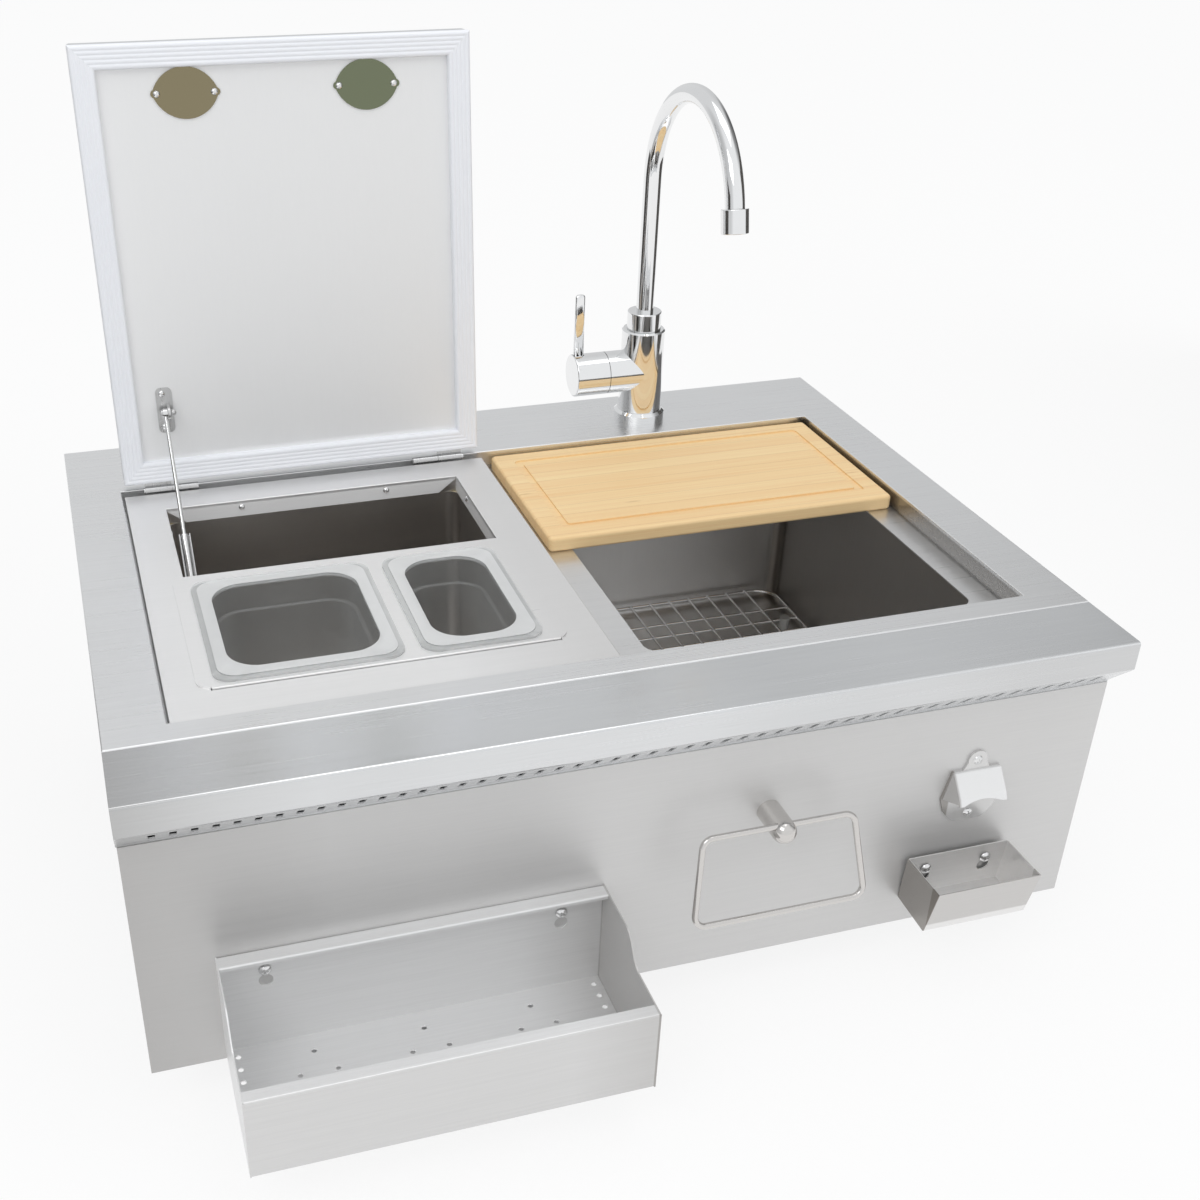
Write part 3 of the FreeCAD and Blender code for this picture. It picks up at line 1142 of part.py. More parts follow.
def pan_holder():
    left, right = BIN_L - HOLDER_TAB_LEFT, BIN_R + HOLDER_TAB_RIGHT
    rear = HOLDER_F + HOLDER_DEPTH
    tabs = rounded_block(left, right, HOLDER_F + HOLDER_TAB_SETBACK, rear, PLATE_TOP, HOLDER_TOP,
                         HOLDER_TAB_R)
    body = block(BIN_L + 1.0, BIN_R - 1.0, HOLDER_F, rear - HOLDER_TAB_R, PLATE_TOP, HOLDER_TOP)
    lip = block(BIN_L + 1.0, BIN_R - 1.0, HOLDER_F, HOLDER_F + SHEET, PLATE_TOP - HOLDER_LIP, HOLDER_TOP)
    holder = fuse([tabs, body, lip])
    holder = soften(holder, SHEET * 0.8, lambda e, m: along(e, V(1, 0, 0)) and near(m.y, HOLDER_F)
                    and near(m.z, HOLDER_TOP))
    for centre, width in ((PAN_LARGE_X, PAN_LARGE_WIDTH), (PAN_SMALL_X, PAN_SMALL_WIDTH)):
        x0, x1, y0, y1 = pan_span(centre, width, PAN_RIM - SLIDE_GAP)
        holder = holder.cut(rounded_block(x0, x1, y0, y1, PLATE_TOP - 1, HOLDER_TOP + 1,
                                          PAN_MOUTH_R + PAN_WALL + SLIDE_GAP))
    return holder


def pan_span(centre, width, inset):
    return (centre - width / 2 + inset, centre + width / 2 - inset,
            PAN_CY - PAN_RIM_DEPTH / 2 + inset, PAN_CY + PAN_RIM_DEPTH / 2 - inset)


def garnish_pan(centre, width):
    """Clear food pan: rim on the holder, raised bead, shoulder for stacking, drafted walls."""
    rim_low = HOLDER_TOP
    rim_top = rim_low + PAN_RIM_THICK
    bead_top = rim_low + PAN_BEAD
    floor = bead_top - PAN_DEEP
    rim = rounded_block(*pan_span(centre, width, 0), rim_low, rim_top, PAN_RIM_R)
    bead = rounded_block(*pan_span(centre, width, PAN_BEAD_INSET), rim_low, bead_top,
                         PAN_RIM_R)
    upper_in = PAN_RIM
    step_z = rim_low - PAN_STEP_DROP
    upper = rounded_block(*pan_span(centre, width, upper_in), step_z, rim_low, PAN_MOUTH_R + PAN_WALL)
    lower_in = upper_in + PAN_STEP_IN
    lower = tapered_block(*pan_span(centre, width, lower_in), floor, step_z, PAN_MOUTH_R, PAN_DRAFT)
    body = fuse([rim, bead, upper, lower])
    w = PAN_WALL
    hollow_up = rounded_block(*pan_span(centre, width, upper_in + w), step_z + w, bead_top + 1,
                              PAN_MOUTH_R)
    hollow_low = tapered_block(*pan_span(centre, width, lower_in + w), floor + w, step_z + w + 0.01,
                               PAN_MOUTH_R - w, PAN_DRAFT)
    return body.cut(fuse([hollow_up, hollow_low]))


# ---------------------------------------------------------------- board, grid

def board_span():
    right = REC_R - BOARD_GAP
    rear = REC_B - BOARD_GAP
    return right - BOARD_WIDTH, right, rear - BOARD_DEPTH, rear


def cutting_board():
    x0, x1, y0, y1 = board_span()
    top = DECK_TOP + BOARD_THICK
    board = rounded_block(x0, x1, y0, y1, DECK_TOP, top, BOARD_CORNER_R)
    board = soften(board, BOARD_EDGE_R, lambda e, m: near(m.z, DECK_TOP) or near(m.z, top))
    a, b = GROOVE_INSET, GROOVE_INSET + GROOVE_WIDTH
    groove = rounded_block(x0 + a, x1 - a, y0 + a, y1 - a, top - GROOVE_DEEP, top + 1, 6)
    groove = groove.cut(rounded_block(x0 + b, x1 - b, y0 + b, y1 - b, top - 5, top + 2, 3))
    return board.cut(groove)


def grid_span():
    return (BOWL_L_X + GRID_MARGIN, BOWL_R_X - GRID_MARGIN,
            BOWL_F_Y + GRID_MARGIN, BOWL_B_Y - GRID_MARGIN)


def facet_loop(centre, axis, radius):
    """Eight-sided section of a thin wire, flat on top, square to a level axis."""
    up = V(0, 0, 1)
    side = axis.cross(up).normalize()
    turns = [math.radians(45 * i + 22.5) for i in range(9)]
    return Part.makePolygon([centre + up * (radius * math.cos(t)) + side * (radius * math.sin(t))
                             for t in turns])


def facet_bar(start, end, radius):
    """Straight eight-sided wire."""
    return Part.Face(facet_loop(start, end - start, radius)).extrude(end - start)


def sink_grid():
    x0, x1, y0, y1 = grid_span()
    z = BOWL_FLOOR + GRID_HEIGHT
    path = rounded_loop(x0, x1, y0, y1, z, GRID_CORNER_R)
    rim = path.makePipeShell([facet_loop(path.Vertexes[0].Point, V(1, 0, 0), GRID_RIM_R)], True, True)
    wires = [rim]
    for i in range(GRID_LONG_WIRES):
        x = (x0 + x1) / 2 + (i - (GRID_LONG_WIRES - 1) / 2) * GRID_LONG_PITCH
        start = V(x, y0 + GRID_WIRE_STOP, z + GRID_WIRE_R)
        wires.append(facet_bar(start, V(x, y1 - GRID_WIRE_STOP, z + GRID_WIRE_R), GRID_WIRE_R))
    for y in cross_wire_places():
        start = V(x0 + GRID_WIRE_STOP, y, cross_wire_z())
        wires.append(facet_bar(start, V(x1 - GRID_WIRE_STOP, y, cross_wire_z()), GRID_WIRE_R))
    return fuse(wires)


def cross_wire_places():
    """Y of each wire that runs left to right."""
    middle = (grid_span()[2] + grid_span()[3]) / 2
    return [middle + (i - (GRID_CROSS_WIRES - 1) / 2) * GRID_CROSS_PITCH for i in range(GRID_CROSS_WIRES)]


def cross_wire_z():
    """Cross wires are welded a little below the long ones."""
    return BOWL_FLOOR + GRID_HEIGHT - GRID_CROSS_DROP


def grid_feet():
    """Rubber feet pressed up on two cross wires, beside the rim."""
    x0, x1 = grid_span()[:2]
    places = cross_wire_places()
    z = cross_wire_z()
    feet = []
    for y in (places[1], places[-2]):
        for x in (x0 + GRID_FOOT_INSET, x1 - GRID_FOOT_INSET):
            foot = rod(V(x, y, BOWL_FLOOR), V(x, y, z + GRID_WIRE_R + 1.5), GRID_FOOT_R)
            wire = rod(V(x - 10, y, z), V(x + 10, y, z), GRID_WIRE_R)
            feet.append(foot.cut(wire))
    return Part.makeCompound(feet)


# ---------------------------------------------------------------- faucet

def faucet():
    base = faucet_axis(TOP)
    shank = FAUCET_SHANK_R
    ring = turned([(FAUCET_BODY_R - 2.0, 0), (FAUCET_FLANGE_R, 0), (FAUCET_FLANGE_R, FAUCET_FLANGE_H - 3),
                   (FAUCET_FLANGE_R - 3, FAUCET_FLANGE_H), (FAUCET_BODY_R - 2.0, FAUCET_FLANGE_H)], base)
    add("faucet_base_ring", ring)
    # body with the side hub; the lower end stands inside the base ring
    r, top = FAUCET_BODY_R, FAUCET_BODY_TOP
    bore = SPOUT_R + SPOUT_RUN
    seat = 30.0
    column = turned([(0, 0), (r - 2.0, 0), (r - 2.0, FAUCET_FLANGE_H), (r, FAUCET_FLANGE_H),
                     (r, top - 1.5), (r - 1.5, top), (0, top)], base)
    hub_start = V(FAUCET_X, FAUCET_Y, HUB_Z)
    hub_end = V(FAUCET_X - HUB_SPLIT, FAUCET_Y, HUB_Z)
    hub = rod(hub_start, hub_end, HUB_R)
    body = fuse([column, hub])
    body = body.cut(rod(faucet_axis(TOP + top - seat), faucet_axis(TOP + top + 1), bore))
    pocket_in = V(FAUCET_X - FAUCET_BODY_R + 3, FAUCET_Y, HUB_Z)
    body = body.cut(rod(pocket_in, hub_end - V(1, 0, 0), CARTRIDGE_R + HINGE_RUN))
    shank_rod = rod(faucet_axis(TOP - 60), faucet_axis(TOP), shank)
    body = fuse([body, shank_rod])
    add("faucet_body", body)
    # cartridge in the hub, with its stem in the cap
    stem_end = hub_end - V(STEM_REACH, 0, 0)
    cartridge = fuse([rod(pocket_in, hub_end, CARTRIDGE_R), rod(hub_end, stem_end, STEM_R)])
    add("valve_cartridge", cartridge)
    # handle cap and lever
    cap_start = V(FAUCET_X - HUB_SPLIT - CAP_RUN, FAUCET_Y, HUB_Z)
    cap_end = cap_start - V(CAP_LENGTH, 0, 0)
    cap = rod(cap_start, cap_end, HUB_R)
    cap = soften(cap, 1.4, lambda e, m: near(m.x, cap_end.x))
    cap = cap.cut(rod(cap_start + V(1, 0, 0), cap_start - V(CAP_BORE_DEEP, 0, 0), CAP_BORE_R))
    lever_x = cap_end.x + LEVER_FROM_END + LEVER_WIDTH / 2
    lever = block(lever_x - LEVER_WIDTH / 2, lever_x + LEVER_WIDTH / 2, FAUCET_Y - LEVER_THICK / 2,
                  FAUCET_Y + LEVER_THICK / 2, HUB_Z + HUB_R - 6, HUB_Z + HUB_R + LEVER_HEIGHT)
    lever = soften(lever, 1.0, lambda e, m: m.z > HUB_Z + HUB_R - 5)
    cap = cap.cut(block(lever_x - LEVER_WIDTH / 2, lever_x + LEVER_WIDTH / 2, FAUCET_Y - LEVER_THICK / 2,
                        FAUCET_Y + LEVER_THICK / 2, HUB_Z + HUB_R - 6, HUB_Z + HUB_R + 5))
    add("handle_cap", cap)
    add("handle_lever", lever)
    # swivel collar and spout
    collar = pipe(faucet_axis(TOP + top + 0.2), faucet_axis(TOP + top + 0.2 + COLLAR_H), COLLAR_R, SPOUT_R)
    collar = soften(collar, 1.2, lambda e, m: near(m.z, TOP + top + 0.2 + COLLAR_H)
                    and near(e.Curve.Radius, COLLAR_R))
    add("spout_collar", collar)
    spout_tube(base, top, seat)
    # clamp under the frame
    under = TOP - SHEET
    washer = pipe(faucet_axis(under - 4), faucet_axis(under), 27, shank + 0.3)
    add("faucet_washer", washer)
    hexagon = [V(FAUCET_X + 26 * math.cos(math.pi * i / 3), FAUCET_Y + 26 * math.sin(math.pi * i / 3),
                 under - 14) for i in range(6)]
    nut = Part.Face(Part.makePolygon(hexagon + [hexagon[0]])).extrude(V(0, 0, 10))
    add("faucet_nut", nut.cut(rod(faucet_axis(under - 20), faucet_axis(under), shank + 0.05)))
    # two threaded inlets below the shank
    inlets = []
    for dx in (-8, 8):
        at = V(FAUCET_X + dx, FAUCET_Y, TOP - 60)
        inlets.append(pipe(at - V(0, 0, 34), at, 7.0, 4.5))
    add("faucet_inlets", Part.makeCompound(inlets))


def spout_tube(base, top, seat):
    """Gooseneck: straight riser, one arc forward, then the aerator along its tangent."""
    low = TOP + top - seat
    high = TOP + SPOUT_STRAIGHT
    centre = V(FAUCET_X, FAUCET_Y - SPOUT_BEND_R, high)

    def on_arc(angle):
        a = math.radians(angle)
        return centre + V(0, SPOUT_BEND_R * math.cos(a), SPOUT_BEND_R * math.sin(a))

    riser = Part.LineSegment(V(FAUCET_X, FAUCET_Y, low), V(FAUCET_X, FAUCET_Y, high)).toShape()
    bend = Part.Arc(on_arc(0), on_arc(SPOUT_BEND_ANGLE / 2), on_arc(SPOUT_BEND_ANGLE)).toShape()
    path = Part.Wire([riser, bend])
    rings = []
    for radius in (SPOUT_R, SPOUT_R - SPOUT_WALL):
        rings.append(Part.Wire(Part.makeCircle(radius, V(FAUCET_X, FAUCET_Y, low), V(0, 0, 1))))
    outer = path.makePipeShell([rings[0]], True, True)
    inner = path.makePipeShell([rings[1]], True, True)
    add("spout", outer.cut(inner))
    tip = on_arc(SPOUT_BEND_ANGLE)
    a = math.radians(SPOUT_BEND_ANGLE)
    down = V(0, -math.sin(a), math.cos(a))
    shell = pipe(tip, tip + down * AERATOR_H, AERATOR_R, SPOUT_R - SPOUT_WALL)
    shell = soften(shell, 0.8, lambda e, m: e.Curve.TypeId == "Part::GeomCircle"
                   and near(e.Curve.Radius, AERATOR_R))
    screen = pipe(tip + down * (AERATOR_H - 7), tip + down * (AERATOR_H - 1.5), SPOUT_R, 1.2)
    add("aerator", fuse([shell, screen]))


# ---------------------------------------------------------------- front fittings

def ring_pivot():
    """Middle of the bore that holds the ring, above the post's axis."""
    return V(RING_POST_X, -RING_POST_REACH, RING_POST_Z + RING_ABOVE_POST)


def towel_post():
    pivot = ring_pivot()
    tip = V(RING_POST_X, pivot.y, RING_POST_Z)
    stem = rod(V(RING_POST_X, PANEL_FACE, RING_POST_Z), tip, RING_POST_R)
    end = Part.makeSphere(RING_POST_R, tip)
    stud = rod(V(RING_POST_X, PANEL_FACE, RING_POST_Z), V(RING_POST_X, 8, RING_POST_Z), shank_r())
    nut = rod(V(RING_POST_X, 0, RING_POST_Z), V(RING_POST_X, 4, RING_POST_Z), 5.0)
    post = fuse([stem, end, stud, nut])
    side = V(1, 0, 0)
    return post.cut(rod(pivot - side * 20, pivot + side * 20, RING_WIRE_R + RING_RUN))


def towel_ring():
    """Four-sided wire loop that hangs through the post, a little wider at the bottom."""
    tilt = math.radians(RING_TILT)
    pivot = ring_pivot()
    fall = V(0, -math.sin(tilt), -math.cos(tilt))
    x_mid = RING_POST_X + RING_OFFSET

    def place(u, v):
        return V(x_mid + u, pivot.y, pivot.z) + fall * v

    top_r, low_r = RING_TOP_CORNER_R, RING_BOTTOM_CORNER_R
    loop = [((-RING_TOP_WIDTH / 2, 0.0), top_r), ((RING_TOP_WIDTH / 2, 0.0), top_r),
            ((RING_BOTTOM_WIDTH / 2, RING_SIDE), low_r), ((-RING_BOTTOM_WIDTH / 2, RING_SIDE), low_r)]
    path = Part.Wire(loop_edges(loop, place))
    start = path.Edges[0].valueAt(path.Edges[0].FirstParameter)
    heading = path.Edges[0].tangentAt(path.Edges[0].FirstParameter)
    section = Part.Wire(Part.makeCircle(RING_WIRE_R, start, heading))
    return path.makePipeShell([section], True, True)


def panel_screw_seats():
    """Where screws go through the front panel: opener, rail, catcher."""
    seats = []
    for dz in (0, -OPENER_SCREW_DROP):
        seats.append(V(OPENER_X, PANEL_FACE, OPENER_TOP_SCREW_Z + dz))
    for dx in (-RAIL_SCREW_SPACING / 2, RAIL_SCREW_SPACING / 2):
        seats.append(V(RAIL_X + dx, PANEL_FACE, RAIL_TOP_Z - RAIL_SCREW_DROP))
    for dx in (-CATCHER_SCREW_SPACING / 2, CATCHER_SCREW_SPACING / 2):
        seats.append(V(CATCHER_X + dx, PANEL_FACE, CATCHER_TOP_Z - CATCHER_SCREW_DROP))
    return seats


def panel_screws():
    seats = panel_screw_seats()
    out = V(0, -1, 0)
    opener = [pan_head_screw(s + out * OPENER_BASE_THICK, out) for s in seats[:2]]
    rail = [pan_head_screw(s + out * (SHEET + KEYHOLE_CLEAR), out, HANG_SCREW_R) for s in seats[2:4]]
    stand = catcher_stand(CATCHER_SCREW_DROP - HANG_SCREW_R) + CATCHER_SHEET + KEYHOLE_CLEAR
    catcher = [pan_head_screw(s + out * stand, out, HANG_SCREW_R, SCREW_SHANK + stand) for s in seats[4:]]
    add("opener_screws", Part.makeCompound(opener))
    add("rail_screws", Part.makeCompound(rail))
    add("catcher_screws", Part.makeCompound(catcher))


def bottle_opener():
    """Shield-shaped base, a hood that slopes out of it, and a splayed cheek at each side."""
    half, bulge = OPENER_WIDTH / 2, OPENER_BULGE
    face, front = PANEL_FACE, PANEL_FACE - OPENER_BASE_THICK
    ear_z = OPENER_TOP_SCREW_Z
    hood_z = ear_z - OPENER_HOOD_TOP
    low_z = ear_z - OPENER_SCREW_DROP - OPENER_BOTTOM
    tip_y, tip_z = face - OPENER_HOOD_REACH, hood_z - OPENER_HOOD_DROP
    wide_z = tip_z - 4
    right = [((half, hood_z), 3.0), ((half + bulge, wide_z), 9.0), ((half + bulge - 5, low_z + 12), 6.0),
             ((half - 8, low_z), 9.0)]
    left = [((-x, z), r) for (x, z), r in reversed(right)]
    plate = profile_y([((OPENER_X + x, z), r) for (x, z), r in right + left], front, face)
    ear = rod(V(OPENER_X, front, ear_z), V(OPENER_X, face, ear_z), OPENER_EAR_R)
    foot = OPENER_EAR_R + 5
    neck = profile_y([((OPENER_X - foot, hood_z - 3), 0), ((OPENER_X + foot, hood_z - 3), 0),
                      ((OPENER_X + OPENER_EAR_R - 0.6, ear_z - 1), 0),
                      ((OPENER_X - OPENER_EAR_R + 0.6, ear_z - 1), 0)], front, face)
    w = OPENER_WALL
    hood = profile_x([((face, hood_z), 0), ((front - 2, hood_z - 0.5), 3.0), ((tip_y + 3, tip_z + 6), 6.0),
                      ((tip_y, tip_z), 0), ((tip_y + w, tip_z - 0.6), 0), ((tip_y + 3 + w, tip_z + 4.5), 5.0),
                      ((front - 1, hood_z - w - 0.8), 0), ((face, hood_z - w - 0.8), 0)],
                     OPENER_X - half, OPENER_X + half)
    cheeks = [opener_cheek(side, hood_z, wide_z, tip_y, tip_z, front) for side in (-1, 1)]
    arch = OPENER_WIDTH
    lip_cut = rod(V(OPENER_X, tip_y - 5, tip_z - arch + 4),
                  V(OPENER_X, tip_y + w + 3, tip_z - arch + 4), arch)
    body = fuse([plate, ear, neck, hood] + cheeks).cut(lip_cut)
    for seat in panel_screw_seats()[:2]:
        body = body.cut(rod(seat + V(0, 1, 0), seat - V(0, OPENER_BASE_THICK + 1, 0), shank_r()))
        clear = rod(seat - V(0, OPENER_BASE_THICK, 0), seat - V(0, 40, 0), SCREW_HEAD_R + KEYHOLE_CLEAR)
        body = body.cut(clear)
    return body


def opener_cheek(side, hood_z, wide_z, tip_y, tip_z, front):
    """Side wall of the hood: straight at the hood, splayed out where it meets the base."""
    half, w = OPENER_WIDTH / 2, OPENER_WALL

    def section(y, top_z, low_z, splay):
        near_x = OPENER_X + side * half
        far_x = OPENER_X + side * (half + splay)
        corners = [V(near_x, y, top_z), V(far_x, y, low_z), V(far_x - side * w, y, low_z),
                   V(near_x - side * w, y, top_z)]
        return Part.makePolygon(corners + [corners[0]])

    at_base = section(front + 0.5, hood_z - 0.5, wide_z, OPENER_BULGE - 1.0)
    at_lip = section(tip_y + 2.5, tip_z + 5.0, tip_z + 1.0, 0.0)
    return Part.makeLoft([at_base, at_lip], True, True)


def keyhole(seat, head_r, drop, thick):
    """Keyhole in a hung plate: narrow slot at the screw, wide hole below it."""
    back, front = V(0, 1, 0), V(0, -(thick + 1), 0)
    narrow = shank_r(head_r) + KEYHOLE_CLEAR / 2
    wide = head_r + KEYHOLE_CLEAR
    slot = rod(seat + back, seat + front, narrow)
    low = seat - V(0, 0, drop)
    gap = block(seat.x - narrow, seat.x + narrow, seat.y + front.y, seat.y + 1, low.z, seat.z)
    return fuse([slot, gap, rod(low + back, low + front, wide)])


def catcher_stand(drop):
    """Gap between the panel and the catcher's leaning back wall, this far below its top."""
    return CATCHER_LEAN * (1 - drop / CATCHER_HEIGHT)


def cap_catcher():
    """Open box whose back wall leans off the panel at the top and rests on it at the foot."""
    x0, x1 = CATCHER_X - CATCHER_WIDTH / 2, CATCHER_X + CATCHER_WIDTH / 2
    back, top = PANEL_FACE, CATCHER_TOP_Z
    foot = top - CATCHER_HEIGHT
    t = CATCHER_SHEET
    outer = [((back - CATCHER_LEAN, top), 0), ((back - CATCHER_LEAN - CATCHER_DEPTH, top), 0),
             ((back - CATCHER_FOOT_DEPTH, foot - CATCHER_FLOOR_FALL), t), ((back, foot), t)]
    inner = [((back - CATCHER_LEAN - t, top), 0), ((back - CATCHER_LEAN - CATCHER_DEPTH + t, top), 0),
             ((back - CATCHER_FOOT_DEPTH + t, foot - CATCHER_FLOOR_FALL + t), 0), ((back - t, foot + t), 0)]
    box = profile_x(outer, x0, x1).cut(profile_x(inner, x0 + t, x1 - t))
    for seat in panel_screw_seats()[4:]:
        box = box.cut(keyhole(seat, HANG_SCREW_R, 10.0, t + CATCHER_LEAN))
    return box


def rail_side_loop():
    """(y, z) outline of the rail's end plate with its S-curved front edge, as edges."""
    back, front = PANEL_FACE, PANEL_FACE - RAIL_DEPTH
    top, low = RAIL_TOP_Z, RAIL_TOP_Z - RAIL_BACK_HEIGHT
    sill = low + RAIL_FRONT_HEIGHT
    a = V(0, back - RAIL_CURVE_START, top)
    b = V(0, back - RAIL_CURVE_END, sill)
    third = (RAIL_CURVE_END - RAIL_CURVE_START) * 0.55
    curve = Part.BezierCurve()
    curve.setPoles([a, a - V(0, third, 0), b + V(0, third, 0), b])
    corners = [V(0, front, sill), V(0, front, low), V(0, back, low), V(0, back, top)]
    edges = [curve.toShape()]
    chain = [b] + corners + [a]
    for p, q in zip(chain, chain[1:]):
        edges.append(Part.LineSegment(p, q).toShape())
    return edges


def rail_hole_places():
    """Drain holes: a column at each end and three diamonds between."""
    first = PANEL_FACE - RAIL_FIRST_ROW
    places = []
    for side in (-1, 1):
        x = RAIL_X + side * (RAIL_WIDTH / 2 - RAIL_END_MARGIN)
        places += [(x, first - i * RAIL_ROW_PITCH) for i in range(RAIL_COLUMN_HOLES)]
    for i in (-1, 0, 1):
        x, y = RAIL_X + i * RAIL_DIAMOND_PITCH, first - RAIL_DIAMOND_LEAD
        w, d = RAIL_DIAMOND_HALF, RAIL_DIAMOND_DEEP
        places += [(x, y), (x - w, y - d), (x + w, y - d), (x, y - 2 * d)]
    return places


def speed_rail():
    x0, x1 = RAIL_X - RAIL_WIDTH / 2, RAIL_X + RAIL_WIDTH / 2
    back, front = PANEL_FACE, PANEL_FACE - RAIL_DEPTH
    top, low = RAIL_TOP_Z, RAIL_TOP_Z - RAIL_BACK_HEIGHT
    sill = low + RAIL_FRONT_HEIGHT
    path = [
        (back - RAIL_TOP_FLANGE, top - RAIL_TOP_HEM),
        (back - RAIL_TOP_FLANGE, top),
        (back, top),
        (back, low),
        (front, low),
        (front, sill),
        (front + RAIL_FRONT_LIP, sill),
    ]
    trough = folded_x([(y, z) for y, z in reversed(path)], SHEET, 0.5, x0, x1)
    end = Part.Face(Part.Wire(rail_side_loop()))
    ends = []
    for x in (x0, x1 - SHEET):
        plate = end.extrude(V(SHEET, 0, 0))
        plate.translate(V(x, 0, 0))
        ends.append(plate)
    rail = fuse([trough] + ends)
    holes = [rod(V(x, y, low - 2), V(x, y, low + 4), RAIL_HOLE_R) for x, y in rail_hole_places()]
    rail = rail.cut(Part.makeCompound(holes))
    for seat in panel_screw_seats()[2:4]:
        rail = rail.cut(keyhole(seat, HANG_SCREW_R, 11.0, SHEET))
    return rail


# ---------------------------------------------------------------- build every node

def build():
    add("top_frame", top_frame())
    add("front_nose", front_nose())
    add("front_panel", front_panel())
    add("side_panel_left", side_panel(-1))
    add("side_panel_right", side_panel(1))
    add("rear_panel", rear_panel())
    add("bottom_panel", bottom_panel())
    add("deck_pan", deck_pan())
    add("sink_bowl", sink_bowl())
    sink_drain()
    add("strainer_basket", strainer_basket())
    add("bin_plate", bin_plate())
    add("ice_tub", ice_tub())
    add("bin_insulation", bin_insulation())
    add("bin_jacket", bin_jacket())
    bin_drain()
    add("bin_screws", Part.makeCompound(
        [pan_head_screw(s, out, SMALL_SCREW_R) for s, out in bin_screw_seats()]))
    add("lid_skin", lid_turn(lid_skin()))
    add("lid_liner", lid_turn(lid_liner()))
    add("lid_foam", lid_turn(lid_foam()))
    add("lid_gasket", lid_turn(lid_gasket()))
    add("finger_cups", lid_turn(finger_cups()))
    add("cup_plates", lid_turn(cup_plates()))
    add("lid_screws", lid_turn(Part.makeCompound(
        [pan_head_screw(s, V(0, 0, -1), SMALL_SCREW_R) for s in lid_screw_seats()])))
    hinges()
    lid_stay()
    add("pan_holder", pan_holder())
    add("garnish_pan_large", garnish_pan(PAN_LARGE_X, PAN_LARGE_WIDTH))
    add("garnish_pan_small", garnish_pan(PAN_SMALL_X, PAN_SMALL_WIDTH))
    add("cutting_board", cutting_board())
    add("sink_grid", sink_grid())
    add("grid_feet", grid_feet())
    faucet()
    add("towel_post", towel_post())
    add("towel_ring", towel_ring())
    panel_screws()
    add("bottle_opener", bottle_opener())
    add("cap_catcher", cap_catcher())
    add("speed_rail", speed_rail())


build()
for name, shape in SOLIDS.items():
    good = shape.isValid() and all(s.isClosed() for s in shape.Solids)
    print(name, "solids", len(shape.Solids), "volume cm3", round(shape.Volume / 1000, 2),
          "" if good else "NOT VALID")
    shape.exportStep("parts/" + name + ".step")
print("nodes", len(SOLIDS))
low, high = stay_lid_pin(), stay_lid_pin() + stay_line() * STAY_OPEN_LENGTH
print("hinge axis", round(HINGE_Y, 3), round(HINGE_Z, 3), "stay pins", low, high)
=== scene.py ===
# %% [markdown]
# Bar sink with an insulated ice bin.
# The real object is folded from stainless sheet: a raised frame that hangs in a counter, a front nose and
# panel, a square sink on the right and a lidded ice bin on the left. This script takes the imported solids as
# a fixed frame, gives every piece its real finish, and rebuilds in Blender the five pieces whose roundness
# or fine detail plain solids show poorly: the sink grid, the towel ring, the gooseneck, the lever and the
# lid gasket. Lengths are metres, X runs left to right, Y front to back, Z up.

# %% Load the frame
import math

import bmesh
import bpy
from mathutils import Matrix, Vector


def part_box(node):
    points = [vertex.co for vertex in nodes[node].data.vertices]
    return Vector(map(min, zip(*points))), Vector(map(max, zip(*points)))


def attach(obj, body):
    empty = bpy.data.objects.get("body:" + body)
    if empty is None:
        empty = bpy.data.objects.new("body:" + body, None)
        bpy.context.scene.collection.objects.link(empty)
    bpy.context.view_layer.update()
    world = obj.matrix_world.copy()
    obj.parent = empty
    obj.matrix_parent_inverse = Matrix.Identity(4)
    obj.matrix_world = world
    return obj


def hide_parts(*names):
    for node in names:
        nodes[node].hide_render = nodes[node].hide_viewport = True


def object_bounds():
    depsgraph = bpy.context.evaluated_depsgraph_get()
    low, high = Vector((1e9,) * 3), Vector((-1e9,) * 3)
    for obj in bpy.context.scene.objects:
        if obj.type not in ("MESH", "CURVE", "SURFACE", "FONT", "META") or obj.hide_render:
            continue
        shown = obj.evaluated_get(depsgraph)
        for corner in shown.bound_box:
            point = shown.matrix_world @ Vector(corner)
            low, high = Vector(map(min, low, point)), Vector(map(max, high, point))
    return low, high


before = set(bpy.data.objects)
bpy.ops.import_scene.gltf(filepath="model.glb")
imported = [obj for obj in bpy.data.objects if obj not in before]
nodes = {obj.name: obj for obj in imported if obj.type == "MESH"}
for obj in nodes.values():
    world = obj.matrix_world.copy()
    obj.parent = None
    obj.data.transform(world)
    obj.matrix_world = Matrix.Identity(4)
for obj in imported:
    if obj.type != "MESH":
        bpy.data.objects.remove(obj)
cad_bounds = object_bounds()
scene = bpy.context.scene
MM = 0.001
print("nodes", len(nodes), "bounds", [[round(v, 3) for v in corner] for corner in cad_bounds])

# %% [markdown]
# The photograph was taken from above the counter, a little to the left of the object, with a short
# telephoto view. Its camera was solved from the straight edges of the frame, so the same pose, lens and
# sensor shift are used here. The right and up directions come from yaw, pitch and a small roll.

# %% Camera
CAMERA_AT = Vector((-0.41623, -0.93349, 0.66713))
YAW = math.radians(16.8647)
PITCH = math.radians(31.3361)
ROLL = math.radians(0.6008)
FOCAL_PX, CENTRE_X_PX, CENTRE_Y_PX, FRAME_PX = 1509.76, 499.48, 659.57, 1200

forward = Vector((math.sin(YAW) * math.cos(PITCH), math.cos(YAW) * math.cos(PITCH), -math.sin(PITCH)))
level_right = Vector((math.cos(YAW), -math.sin(YAW), 0))
level_up = level_right.cross(forward)
right = math.cos(ROLL) * level_right + math.sin(ROLL) * level_up
up = -math.sin(ROLL) * level_right + math.cos(ROLL) * level_up

